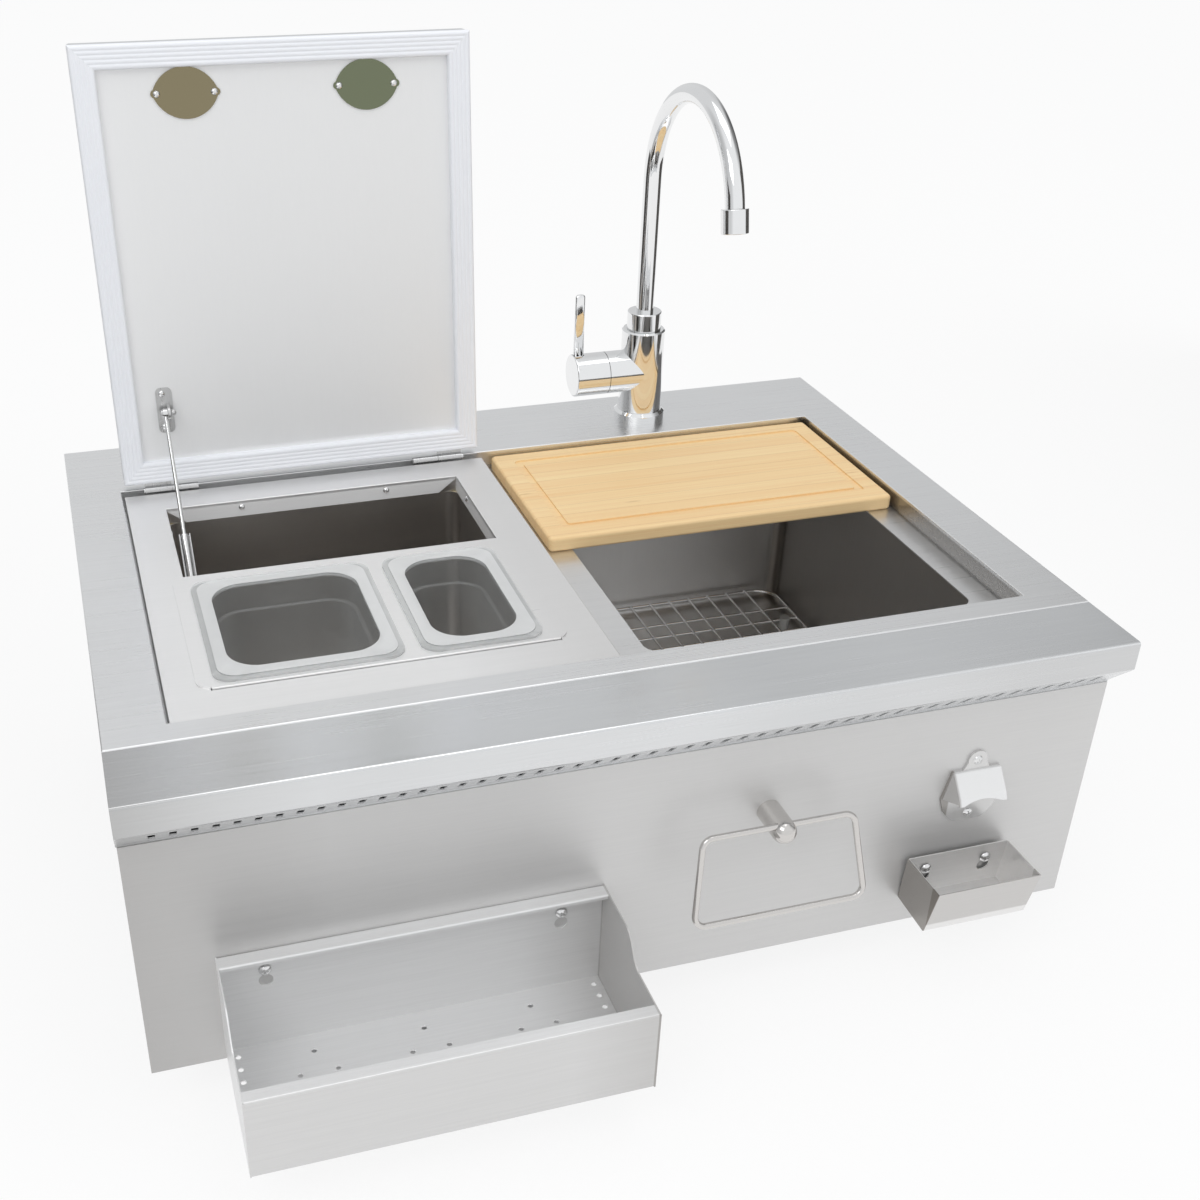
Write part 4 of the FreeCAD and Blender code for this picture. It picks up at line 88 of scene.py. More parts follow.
camera = bpy.data.objects.new("camera", bpy.data.cameras.new("camera"))
camera.matrix_world = Matrix.Translation(CAMERA_AT) @ Matrix((right, up, -forward)).transposed().to_4x4()
camera.data.sensor_width = 36
camera.data.lens = FOCAL_PX / FRAME_PX * 36
camera.data.shift_x = (FRAME_PX / 2 - CENTRE_X_PX) / FRAME_PX
camera.data.shift_y = (CENTRE_Y_PX - FRAME_PX / 2) / FRAME_PX
camera.data.clip_start = 0.02
scene.collection.objects.link(camera)
scene.camera = camera
scene.view_settings.view_transform = "Standard"
print("lens", round(camera.data.lens, 2), "mm")
print("shift", round(camera.data.shift_x, 4), round(camera.data.shift_y, 4))

# %% [markdown]
# Materials and Geometry Nodes are both graphs of nodes, so one small class builds either. Its single method
# adds a node from its type, its settings and the values or links of its sockets. A second class wraps a
# socket that carries one number, and its operators add Math nodes, so a pattern reads like the formula it
# is.

# %% A graph builder
class Number:
    def __init__(self, graph, socket):
        self.graph, self.socket = graph, socket

    def math(self, operation, *others):
        made = self.graph.node("ShaderNodeMath", {"operation": operation}, dict(enumerate((self, *others))))
        return Number(self.graph, made.outputs[0])

    def __add__(self, other): return self.math("ADD", other)
    def __radd__(self, other): return self.math("ADD", other)
    def __sub__(self, other): return self.math("SUBTRACT", other)
    def __rsub__(self, other): return (self * -1.0) + other
    def __mul__(self, other): return self.math("MULTIPLY", other)
    def __rmul__(self, other): return self.math("MULTIPLY", other)
    def __truediv__(self, other): return self.math("DIVIDE", other)
    def __pow__(self, other): return self.math("POWER", other)

    def between(self, low, high):
        """0 below low, 1 above high, a straight ramp between."""
        slope = self.graph.node("ShaderNodeMapRange", {"clamp": True}, {0: self, 1: low, 2: high})
        return Number(self.graph, slope.outputs[0])


class Graph:
    def __init__(self, tree):
        self.tree = tree
        tree.nodes.clear()

    def link(self, value, socket):
        if isinstance(value, Number):
            value = value.socket
        if isinstance(value, bpy.types.NodeSocket):
            self.tree.links.new(value, socket)
        elif isinstance(value, tuple) and len(value) == 3 and socket.type == "RGBA":
            socket.default_value = (*value, 1)
        else:
            socket.default_value = value

    def node(self, kind, settings=None, inputs=None):
        made = self.tree.nodes.new(kind)
        for name, value in (settings or {}).items():
            if name == "stops":
                ramp = made.color_ramp
                while len(ramp.elements) < len(value):
                    ramp.elements.new(0.5)
                for stop, (place, colour) in zip(ramp.elements, value):
                    stop.position, stop.color = place, (*colour, 1)
            else:
                setattr(made, name, value)
        for name, value in (inputs or {}).items():
            self.link(value, made.inputs[name])
        return made


print("graph builder ready")

# %% [markdown]
# A finish is one material. It starts from Object coordinates, which stay on the piece as it moves, and ends
# in the Principled shader. Three tools are shared: noise, stretched for grain or even for cloudiness, a mix
# of two colours by a number, and a bump, which goes through the Bump node into Normal.

# %% A finish
class Finish(Graph):
    def __init__(self, name):
        self.material = bpy.data.materials.new(name)
        self.material.use_nodes = True
        super().__init__(self.material.node_tree)
        self.place = self.node("ShaderNodeTexCoord").outputs["Object"]
        axes = self.node("ShaderNodeSeparateXYZ", None, {0: self.place}).outputs
        self.x, self.y, self.z = (Number(self, axes[i]) for i in range(3))

    def stretched(self, stretch):
        """Object coordinates multiplied by a number along each axis."""
        made = self.node("ShaderNodeVectorMath", {"operation": "MULTIPLY"}, {0: self.place, 1: stretch})
        return made.outputs[0]

    def noise(self, stretch, detail=2.0, rough=0.5):
        """Noise that repeats about `stretch` times in a metre along X, Y and Z."""
        made = self.node("ShaderNodeTexNoise", None, {
            "Vector": self.stretched(stretch), "Scale": 1.0, "Detail": detail, "Roughness": rough,
            "Distortion": 0.0})
        return Number(self, made.outputs[0])

    def mix(self, amount, first, second):
        mixed = self.node("ShaderNodeMix", {"data_type": "RGBA"}, {0: amount, 6: first, 7: second})
        return mixed.outputs[2]

    def bump(self, height, distance, strength=1.0):
        return self.node("ShaderNodeBump", None, {
            "Height": height, "Distance": distance, "Strength": strength}).outputs[0]

    def shade(self, **sockets):
        shader = self.node("ShaderNodeBsdfPrincipled", None,
                           {name.replace("_", " "): value for name, value in sockets.items()})
        self.node("ShaderNodeOutputMaterial", None, {"Surface": shader.outputs[0]})
        return self.material


def tone(value, warmth=0.0):
    """A grey, a little warm (above 0) or cool (below 0)."""
    return (value * (1 + warmth), value, value * (1 - warmth))


def dress(material, *names):
    for name in names:
        slots = nodes[name].data.materials
        slots.clear()
        slots.append(material)


print("finish helper ready")

# %% [markdown]
# Brushed stainless is drawn by an abrasive belt: hair lines some centimetres long and a tenth of a
# millimetre wide, all one way. The lines spread a reflection across the grain, so a fine stretched bump
# does most of the work, a coarser one gives the streaks that the eye can pick out, and a slow cloudiness
# keeps large plates from looking like plastic. The grain's direction follows the sheet before it was
# folded.

# %% Brushed stainless
GRAIN_FINE, GRAIN_COARSE = 2600.0, 420.0     # lines in a metre, across the grain
GRAIN_DEPTH = 0.00006
PALEST_STEEL = 0.97


def along(axis, slow, fast):
    """A stretch that is slow along the grain and fast across it."""
    return tuple(slow if name == axis else fast for name in "XYZ")


def brushed(name, axis, grey, warmth, roughness, streaks=1.0, depth=1.0, metal=1.0, bands=0.0,
            painted_shade=None, matt=None):
    """`streaks` and `depth` scale the grain's contrast and its bump, and `bands` the soft bands along X, a
    painted reflection. The shade mask says how far a place is darkened by painted shade, and `matt` where the
    metal scatters light instead of mirroring it."""
    f = Finish(name)
    fine = f.noise(along(axis, 30.0, GRAIN_FINE))
    coarse = f.noise(along(axis, 6.0, GRAIN_COARSE), detail=3.0, rough=0.6)
    cloud = f.noise((5.0, 5.0, 5.0))
    lines = fine * 0.45 + coarse * 0.55
    bright = (lines - 0.5) * (0.9 * streaks) + (cloud - 0.5) * 0.16 + 0.5
    # Painted reflection: soft light and dark bands along X, as a brushed sheet shows where it mirrors the
    # room.
    if bands:
        bright = bright + (f.noise((3.4, 0.0, 0.3), detail=1.0) - 0.5) * bands
    lowest, highest = grey * 0.80, min(grey * 1.16, PALEST_STEEL)
    colour = f.mix(bright.between(0.0, 1.0), tone(lowest, warmth), tone(highest, warmth))
    # Painted shade: a dark grey mixed into the colour where the mask says a face mirrors something dark or
    # lies in shadow.
    if painted_shade:
        colour = f.mix(painted_shade(f), colour, tone(grey * 0.22, 0.10))
    rough = (coarse - 0.5) * 0.22 + (cloud - 0.5) * 0.12 + roughness
    normal = f.bump(lines, GRAIN_DEPTH * depth, 0.6)
    if matt:
        metal = (matt(f) * -1.0 + 1.0) * metal
    return f.shade(Base_Color=colour, Metallic=metal, Roughness=rough, Normal=normal)


print("brushed helper ready")

# %% [markdown]
# A folded sheet meets the room at a different angle on each face, so in the photograph some faces are
# darker than their neighbours: the outer sides of the rail, the cap catcher and the opener, the right wall
# of the sink, the left ends of the nose and panel. The simple studio below has less to mirror than a real
# room, so each of these faces gets painted shade: a mask by place on the piece mixes a dark grey into its
# colour. A mask is a product of ramps in metres, and every one is named for the face it covers.

# %% Painted shade on faces that mirror something dark
# Painted shadow: the frame's right skirt, below its top, darkened where the cutting board shades it.
def skirt_right(f):
    return f.z.between(0.0118, 0.0100) * f.x.between(0.36, 0.37) * f.x.between(0.41, 0.40) * 0.65


def nose_ends(f):
    left_end = f.x.between(-0.28, -0.43) * 0.36
    front_face = f.y.between(-0.0273, -0.0277) * f.x.between(0.10, 0.42) * 0.24
    return left_end + front_face


def inside_nose(f):
    return f.z.between(0.0125, 0.0122) * f.y.between(-0.0273, -0.0270)


def panel_left(f):
    return f.x.between(-0.27, -0.43) * 0.30


def ledge_right(f):
    return f.x.between(0.379, 0.383) * 0.6


def plate_right(f):
    return f.x.between(-0.14, -0.02) * 0.16


def plate_flanges(f):
    return f.z.between(0.0085, 0.0075)


def rail_outside(f):
    front = f.y.between(-0.1357, -0.1362) * 0.26
    towards_end = f.x.between(-0.11, -0.045) * 0.14
    right_end = f.x.between(-0.0400, -0.0394) * 0.32
    return (front + towards_end + right_end).between(0.0, 1.0)


def catcher_outside(f):
    left_side = f.x.between(0.2568, 0.2560) * 0.80
    front = f.y.between(-0.0498, -0.0504) * 0.38
    return (left_side + front).between(0.0, 1.0)


def bowl_walls(f):
    back = f.y.between(0.465, 0.477) * f.x.between(0.16, 0.32) * 0.45
    right_wall = f.x.between(0.338, 0.346) * 0.72
    return (back + right_wall).between(0.0, 0.98)


def opener_sides(f):
    base = f.y.between(-0.0045, -0.0030) * 0.34
    left_side = f.x.between(0.2895, 0.2880) * 0.50
    return (base + left_side).between(0.0, 1.0)


print("masks", 11)

# %% [markdown]
# The sheets don't all look alike in the photograph: the raised frame is neutral, the nose reflects a cooler
# part of the room, the panel below it is warmer, and the inside of the ice bin is dark. These are copies of
# one stainless whose greys and warmths are painted light: each is lighter or darker, warmer or cooler, for
# what it reflects and the shade it lies in, and the dark inside of the ice bin is painted shade. The numbers
# after the grain's direction are the grey, its warmth and the roughness.

# %% Sheet finishes
frame_steel = brushed("frame_steel", "X", 0.85, -0.004, 0.30, streaks=0.6, painted_shade=skirt_right)
nose_steel = brushed("nose_steel", "X", 0.76, -0.012, 0.24, streaks=0.6, bands=1.5, painted_shade=nose_ends,
                     matt=inside_nose)
panel_steel = brushed("panel_steel", "X", 0.68, 0.008, 0.44, streaks=0.5, metal=0.6, bands=0.3,
                      painted_shade=panel_left)
deck_steel = brushed("deck_steel", "X", 0.76, 0.0, 0.32, streaks=0.6, painted_shade=ledge_right)
plate_steel = brushed("plate_steel", "X", 0.97, 0.004, 0.34, streaks=0.5, metal=0.70, painted_shade=plate_right,
                      matt=plate_flanges)
liner_steel = brushed("liner_steel", "Z", 0.97, -0.002, 0.44, streaks=0.25, depth=0.4, metal=0.3,
                      bands=0.35)
lid_skin_steel = brushed("lid_skin_steel", "Z", 0.72, -0.015, 0.34)
rail_steel = brushed("rail_steel", "X", 0.97, 0.0, 0.36, streaks=1.1, depth=0.7, metal=0.45,
                     painted_shade=rail_outside)
catcher_steel = brushed("catcher_steel", "X", 0.94, 0.01, 0.34, streaks=0.8, depth=0.4, metal=0.75,
                        painted_shade=catcher_outside)
bowl_steel = brushed("bowl_steel", "Z", 0.97, 0.006, 0.42, streaks=0.6, depth=0.8, bands=0.5,
                     painted_shade=bowl_walls)
# Painted shade: the inside of the ice bin is a darker, warmer copy of the steel.
tub_steel = brushed("tub_steel", "X", 0.56, 0.05, 0.34, streaks=0.3, depth=0.3)
channel_steel = brushed("channel_steel", "Z", 0.62, 0.0, 0.30)
opener_steel = brushed("opener_steel", "X", 0.97, 0.0, 0.20, streaks=0.2, depth=0.2, metal=0.5,
                       painted_shade=opener_sides)

dress(frame_steel, "top_frame")
dress(nose_steel, "front_nose")
dress(panel_steel, "front_panel")
dress(deck_steel, "deck_pan")
dress(plate_steel, "bin_plate", "pan_holder")
dress(liner_steel, "lid_liner")
dress(lid_skin_steel, "lid_skin")
dress(rail_steel, "speed_rail")
dress(catcher_steel, "cap_catcher")
dress(bowl_steel, "sink_bowl")
dress(tub_steel, "ice_tub")
dress(opener_steel, "bottle_opener")
dress(channel_steel, "stay_channel", "stay_lid_bracket", "stay_wall_bracket", "hinge_frame_leaves",
      "hinge_lid_leaves")
print("sheet finishes", 13)

# %% [markdown]
# The hidden housing is galvanised sheet, whose zinc freezes in flat crystals a centimetre or two wide. A
# Voronoi pattern gives each crystal its own grey and shine.

# %% Galvanised sheet
def galvanised():
    f = Finish("galvanised_sheet")
    cells = f.node("ShaderNodeTexVoronoi", None, {"Vector": f.place, "Scale": 75.0})
    spangle = f.node("ShaderNodeSeparateColor", None, {0: cells.outputs["Color"]})
    amount = Number(f, spangle.outputs[0])
    cloud = f.noise((9.0, 9.0, 9.0), detail=3.0)
    colour = f.mix(amount * 0.7 + cloud * 0.3, tone(0.46, -0.02), tone(0.62, -0.02))
    return f.shade(Base_Color=colour, Metallic=0.9, Roughness=amount * 0.2 + 0.38)


dress(galvanised(), "side_panel_left", "side_panel_right", "rear_panel", "bottom_panel", "bin_jacket")
print("galvanised housing dressed")

# %% [markdown]
# Chrome plate and polished wire are nearly mirrors. What gives them life is the room they reflect, with a
# trace of fingerprints in the roughness and of polishing waves in the bump.

# %% Polished metals
def polished(name, grey, warmth, roughness, wave=1.0):
    f = Finish(name)
    smear = f.noise((38.0, 38.0, 38.0), detail=3.0, rough=0.6)
    waves = f.noise((60.0, 60.0, 60.0), detail=1.0)
    colour = f.mix(smear, tone(grey * 0.97, warmth), tone(min(grey * 1.02, 0.98), warmth))
    normal = f.bump(waves, 0.00012 * wave, 0.25)
    return f.shade(Base_Color=colour, Metallic=1.0, Roughness=smear * 0.06 + roughness, Normal=normal)


chrome = polished("chrome_plate", 0.86, -0.004, 0.03, wave=0.5)
satin_nickel = polished("satin_nickel", 0.64, 0.03, 0.13)
wire_steel = polished("polished_wire", 0.78, 0.0, 0.10)
screw_steel = polished("screw_steel", 0.80, 0.0, 0.14)
brass = polished("plain_brass", 0.60, 0.10, 0.28)

dress(chrome, "faucet_base_ring", "faucet_body", "spout", "spout_collar", "aerator", "handle_cap",
      "handle_lever")
dress(satin_nickel, "towel_post", "towel_ring")
dress(wire_steel, "sink_grid", "stay_rod", "stay_tube", "strainer_basket", "strainer_body", "hinge_pins",
      "finger_cups")
dress(screw_steel, "bin_screws", "catcher_screws", "lid_screws", "opener_screws", "rail_screws")
dress(brass, "faucet_nut", "faucet_inlets", "valve_cartridge", "strainer_nut", "sink_tailpiece")
print("polished metals dressed")

# %% [markdown]
# The two cup plates in the lid are mirrors too, and in the photograph each shows something coloured outside
# the picture, the left one brown and the right one green. That reflection is painted into the metal's colour.

# %% Cup plates
def cup_plate_mirror():
    f = Finish("cup_plate_mirror")
    # Painted reflection: brown on the left plate, green on the right.
    brown, green = (0.26, 0.225, 0.14), (0.18, 0.20, 0.13)
    colour = f.mix(f.x.between(-0.24, -0.14), brown, green)
    cloud = f.noise((20.0, 20.0, 20.0))
    return f.shade(Base_Color=colour, Metallic=1.0, Roughness=cloud * 0.1 + 0.10)


dress(cup_plate_mirror(), "cup_plates")
print("cup plates dressed")

# %% [markdown]
# Soft parts: the grid's grey rubber feet, the faucet's black washer, the pale lid gasket, the cream foam
# that fills the lid and wraps the bin, and the white plastic drain. All are plain dielectrics with a fine
# speck.

# %% Rubber, foam and plain plastic
def dull(name, dark, light, roughness, grain, height):
    """A plain material between two colours, with `grain` specks in a metre that stand `height` proud."""
    f = Finish(name)
    speck = f.noise((grain, grain, grain), detail=3.0, rough=0.6)
    cloud = f.noise((14.0, 14.0, 14.0))
    colour = f.mix(speck * 0.5 + cloud * 0.5, dark, light)
    return f.shade(Base_Color=colour, Roughness=speck * 0.12 + roughness, Normal=f.bump(speck, height, 0.5))


rubber = dull("black_rubber", (0.020, 0.020, 0.021), (0.045, 0.045, 0.046), 0.60, 900.0, 0.0001)
grey_rubber = dull("grey_rubber", (0.30, 0.30, 0.29), (0.40, 0.40, 0.39), 0.50, 900.0, 0.0001)
gasket_vinyl = dull("gasket_vinyl", (0.88, 0.90, 0.95), (0.94, 0.95, 0.98), 0.36, 500.0, 0.00004)
foam = dull("cream_foam", (0.70, 0.62, 0.42), (0.83, 0.76, 0.56), 0.80, 700.0, 0.0003)
drain_plastic = dull("drain_plastic", (0.74, 0.74, 0.72), (0.84, 0.84, 0.82), 0.34, 300.0, 0.00004)

dress(rubber, "faucet_washer")
dress(grey_rubber, "grid_feet")
dress(gasket_vinyl, "lid_gasket")
dress(foam, "lid_foam", "bin_insulation")
dress(drain_plastic, "bin_drain", "bin_drain_nut")
print("soft parts dressed")

# %% [markdown]
# The garnish pans are clear moulded plastic: almost invisible flat on, whitish at the rims, the base and a
# glancing angle. The facing value of Layer Weight raises the opacity there, and a faint haze breaks up the
# walls. The rim is two steps, the bead on top paler than the flange, with a grey line at the step between.
# The paleness of the rim, bead and base is a painted highlight, and the grey line is painted shade.

# %% Clear plastic
RIM_LOW, RIM_HIGH = 0.0112, 0.0122
BEAD_LOW, BEAD_HIGH = 0.0143, 0.0150
BASE_LOW, BASE_HIGH = -0.082, -0.078
LINE_SOFT = 0.0001


def clear_plastic():
    f = Finish("clear_plastic")
    glance = Number(f, f.node("ShaderNodeLayerWeight", None, {"Blend": 0.35}).outputs["Facing"])
    haze = f.noise((40.0, 40.0, 40.0))
    rim = f.z.between(RIM_LOW, RIM_HIGH)
    bead = f.z.between(BEAD_LOW, BEAD_HIGH)
    base = f.z.between(BASE_HIGH, BASE_LOW)
    step = (f.z.between(BEAD_LOW - LINE_SOFT, BEAD_LOW + LINE_SOFT)
            * f.z.between(BEAD_HIGH + LINE_SOFT, BEAD_HIGH - LINE_SOFT))
    alpha = (glance * 0.22 + haze * 0.05 + rim * 0.28 + bead * 0.16 + base * 0.80 + step * 0.25 + 0.08)
    # Painted highlight: the rim, bead and base made paler, with some haze.
    painted_highlight_and_haze = rim * 0.5 + bead * 0.5 + base * 0.9 + haze * 0.2
    colour = f.mix(painted_highlight_and_haze, (0.62, 0.64, 0.64), (0.97, 0.98, 0.98))
    # Painted shade: a grey line at the step between the flange and the bead.
    colour = f.mix(step * 0.8, colour, (0.40, 0.42, 0.42))
    return f.shade(Base_Color=colour, Roughness=haze * 0.08 + 0.06, Alpha=alpha, IOR=1.52)


dress(clear_plastic(), "garnish_pan_large", "garnish_pan_small")
print("pans dressed")

# %% [markdown]
# The cutting board is glued up from bamboo strips about 20 mm wide that run along its length. Each strip
# has its own shade, fine fibres, and the darker growth nodes that tell bamboo from wood. The strips come
# from a Brick texture laid on X and Y, so that joints between strip ends are staggered as on the real
# board.

# %% Bamboo
STRIP_LENGTH, STRIP_WIDTH = 0.62, 0.0205


def bamboo():
    f = Finish("bamboo")
    strips = f.node("ShaderNodeTexBrick", {"offset": 0.37, "squash": 1.0}, {
        "Vector": f.place, "Color1": (0.0, 0.0, 0.0), "Color2": (1.0, 1.0, 1.0), "Mortar": (0.35, 0.35, 0.35),
        "Scale": 1.0, "Mortar Size": 0.0003, "Brick Width": STRIP_LENGTH, "Row Height": STRIP_WIDTH,
        "Bias": 0.0})
    shade_of_strip = Number(f, strips.outputs["Color"])
    joint = Number(f, strips.outputs["Fac"])
    fibre = f.noise((9.0, 900.0, 900.0), detail=4.0, rough=0.62)
    bands = f.noise((3.0, 160.0, 160.0))
    knots = f.node("ShaderNodeTexVoronoi", {"voronoi_dimensions": "3D"}, {
        "Vector": f.stretched((9.0, 48.8, 48.8)), "Scale": 1.0})
    knot = 1.0 - Number(f, knots.outputs["Distance"]).between(0.03, 0.10)
    ripple = (fibre - 0.5) * 0.95 + (bands - 0.5) * 0.45 + (shade_of_strip - 0.5) * 0.18 + 0.55
    wood = f.mix(ripple.between(0.0, 1.0), (0.84, 0.51, 0.225), (0.98, 0.79, 0.46))
    wood = f.mix(knot * 0.30, wood, (0.46, 0.24, 0.09))
    wood = f.mix(joint * 0.35, wood, (0.45, 0.24, 0.10))
    return f.shade(Base_Color=wood, Roughness=fibre * 0.16 + 0.42, Normal=f.bump(fibre, 0.00012, 0.4))


dress(bamboo(), "cutting_board")
print("board dressed")

# %% [markdown]
# Wire pieces are easiest as a path with a round section swept along it. One Geometry Nodes tree does that
# for any path: it fillets the corners, sweeps a circle, shades it smooth and sets the material. The result
# is kept as a plain mesh, because the export wants finished geometry, and the modifier goes.

# %% A Geometry Nodes helper
class Recipe(Graph):
    """A Geometry Nodes tree with named sizes."""

    def __init__(self, name, sizes):
        self.tree_name, self.sizes = name, sizes
        tree = bpy.data.node_groups.new(name, "GeometryNodeTree")
        super().__init__(tree)
        tree.interface.new_socket("Geometry", in_out="OUTPUT", socket_type="NodeSocketGeometry")
        tree.interface.new_socket("Geometry", in_out="INPUT", socket_type="NodeSocketGeometry")
        for title, value in sizes.items():
            kind = "NodeSocketInt" if isinstance(value, int) else "NodeSocketFloat"
            tree.interface.new_socket(title, in_out="INPUT", socket_type=kind)
        self.entry = self.node("NodeGroupInput")
        self.size = {title: Number(self, self.entry.outputs[title]) for title in sizes}

    def end(self, geometry, material):
        real = self.node("GeometryNodeRealizeInstances", None, {0: geometry})
        smooth = self.node("GeometryNodeSetShadeSmooth", None, {0: real.outputs[0]})
        painted = self.node("GeometryNodeSetMaterial", None, {0: smooth.outputs[0], "Material": material})
        self.node("NodeGroupOutput", None, {0: painted.outputs[0]})

    def run(self, name, start, body, sizes=None, slot=None):
        """Evaluate the tree on a starting object and keep the result as a plain mesh piece."""
        modifier = start.modifiers.new(self.tree_name, "NODES")
        modifier.node_group = self.tree
        wanted = {**self.sizes, **(sizes or {})}
        for item in self.tree.interface.items_tree:
            if item.in_out == "INPUT" and item.name in wanted:
                modifier[item.identifier] = wanted[item.name]
        bpy.context.view_layer.update()
        graph = bpy.context.evaluated_depsgraph_get()
        mesh = bpy.data.meshes.new_from_object(start.evaluated_get(graph), depsgraph=graph)
        bpy.data.objects.remove(start)
        return keep(name, mesh, body)


def keep(name, mesh, body):
    """A finished mesh becomes a piece that rides on a body."""
    mesh.name = name
    piece = bpy.data.objects.new(name, mesh)
    scene.collection.objects.link(piece)
    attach(piece, body)
    print(name, len(mesh.vertices), "points")
    return piece


def path(points, closed):
    """A curve object through points given in millimetres."""
    data = bpy.data.curves.new("path", "CURVE")
    data.dimensions = "3D"
    line = data.splines.new("POLY")
    line.points.add(len(points) - 1)
    for point, place in zip(line.points, points):
        point.co = (*(Vector(place) * MM), 1)
    line.use_cyclic_u = closed
    made = bpy.data.objects.new("path", data)
    scene.collection.objects.link(made)
    return made


print("geometry nodes helper ready")

# %% [markdown]
# The sink grid is welded from polished wire: a rim with round corners, long wires that run front to back
# and cross wires just below them. Mesh lines give the places, and each wire is an instance of one swept
# line, so the count and the pitch are two numbers that can be changed at any time.

# %% Sink grid
def wires(g, count, pitch, axis, length, lift, radius):
    """A row of straight wires, side by side about the middle."""
    first = (g.size[count] - 1) * g.size[pitch] * -0.5
    place = g.node("ShaderNodeCombineXYZ", None, {axis: first, "Z": lift})
    step = g.node("ShaderNodeCombineXYZ", None, {axis: g.size[pitch]})
    row = g.node("GeometryNodeMeshLine", None, {
        "Count": g.size[count], "Start Location": place.outputs[0], "Offset": step.outputs[0]})
    other = "Y" if axis == "X" else "X"
    low = g.node("ShaderNodeCombineXYZ", None, {other: length * -0.5})
    high = g.node("ShaderNodeCombineXYZ", None, {other: length * 0.5})
    line = g.node("GeometryNodeCurvePrimitiveLine", None, {"Start": low.outputs[0], "End": high.outputs[0]})
    ring = g.node("GeometryNodeCurvePrimitiveCircle", None, {"Resolution": 12, "Radius": radius})
    bar = g.node("GeometryNodeCurveToMesh", None, {
        "Curve": line.outputs[0], "Profile Curve": ring.outputs[0], "Fill Caps": True})
    return g.node("GeometryNodeInstanceOnPoints", None, {
        "Points": row.outputs[0], "Instance": bar.outputs[0]})


GRID_AT = (0.19175, 0.2921, -0.186)
CROSS_WIRE_LIFT = -0.0002       # against the rim wire's centre line


def grid_recipe():
    g = Recipe("wire grid", {
        "Width": 0.3051, "Depth": 0.3680, "Corner": 0.026, "Rim Radius": 0.002, "Wire Radius": 0.0015,
        "Long Wires": 11, "Long Pitch": 0.0238, "Cross Wires": 12, "Cross Pitch": 0.025})
    outline = g.node("GeometryNodeCurvePrimitiveQuadrilateral", None, {
        "Width": g.size["Width"], "Height": g.size["Depth"]})
    rounded = g.node("GeometryNodeFilletCurve", {"mode": "POLY"}, {
        "Curve": outline.outputs[0], "Radius": g.size["Corner"], "Count": 10})
    ring = g.node("GeometryNodeCurvePrimitiveCircle", None, {
        "Resolution": 14, "Radius": g.size["Rim Radius"]})
    rim = g.node("GeometryNodeCurveToMesh", None, {
        "Curve": rounded.outputs[0], "Profile Curve": ring.outputs[0]})
    wire = g.size["Wire Radius"]
    long_wires = wires(g, "Long Wires", "Long Pitch", "X", g.size["Depth"], wire, wire)
    cross_wires = wires(g, "Cross Wires", "Cross Pitch", "Y", g.size["Width"], CROSS_WIRE_LIFT, wire)
    joined = g.node("GeometryNodeJoinGeometry")
    for part in (rim, long_wires, cross_wires):
        g.tree.links.new(part.outputs[0], joined.inputs[0])
    moved = g.node("GeometryNodeTransform", None, {
        "Geometry": joined.outputs[0], "Translation": GRID_AT})
    g.end(moved.outputs[0], wire_steel)
    return g


grid_seed = path([(0, 0, 0), (1, 0, 0)], False)      # only carries the modifier
grid = grid_recipe().run("sink_grid_wires", grid_seed, "grid", slot="polished_steel")
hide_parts("sink_grid")

# %% [markdown]
# The towel ring and the gooseneck are each one bent tube, so both are a path through the Swept Tube tree:
# the ring is a closed loop of four filleted corners that leans forward out of its post, the gooseneck a
# riser and an arc of 103 mm radius that comes down towards the sink.

# %% Swept tubes
def tube_recipe(material):
    g = Recipe("swept tube", {"Radius": 0.0028, "Corner": 0.010, "Corner Steps": 10, "Sides": 20})
    rounded = g.node("GeometryNodeFilletCurve", {"mode": "POLY"}, {
        "Curve": g.entry.outputs["Geometry"], "Radius": g.size["Corner"], "Count": g.size["Corner Steps"]})
    ring = g.node("GeometryNodeCurvePrimitiveCircle", None, {
        "Resolution": g.size["Sides"], "Radius": g.size["Radius"]})
    tube = g.node("GeometryNodeCurveToMesh", None, {
        "Curve": rounded.outputs[0], "Profile Curve": ring.outputs[0], "Fill Caps": True})
    g.end(tube.outputs[0], material)
    return g


RING_TILT, RING_HEIGHT = math.radians(13.9), 80.0
RING_TOP_HALF, RING_LOW_HALF = Vector((69.5, 0, 0)), Vector((80.0, 0, 0))
ring_top = Vector((105.5, -31.4, -112.0))
ring_low = ring_top + Vector((0, -math.sin(RING_TILT), -math.cos(RING_TILT))) * RING_HEIGHT
loop = [ring_top - RING_TOP_HALF, ring_top + RING_TOP_HALF,
        ring_low + RING_LOW_HALF, ring_low - RING_LOW_HALF]
ring_piece = tube_recipe(satin_nickel).run("towel_ring_wire", path(loop, True), "ring", slot="chrome")
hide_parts("towel_ring")

RISER_FOOT, RISER_TOP, BEND_R = 87.5, 277.4, 103.0
RISER_STEP, BEND_STEP = 10, 2       # millimetres and degrees between points
FAUCET_AT = Vector((197.7, 559.1, 0))
bend_centre = FAUCET_AT + Vector((0, -BEND_R, RISER_TOP))
gooseneck = [FAUCET_AT + Vector((0, 0, RISER_FOOT + RISER_STEP * i)) for i in range(19)]
for i in range(85):
    turn = math.radians(i * BEND_STEP)
    gooseneck.append(bend_centre + Vector((0, BEND_R * math.cos(turn), BEND_R * math.sin(turn))))
spout_piece = tube_recipe(chrome).run("gooseneck", path(gooseneck, False), "spout",
                                      {"Radius": 0.0094, "Corner": 0.0, "Sides": 40}, slot="chrome")
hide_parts("spout")

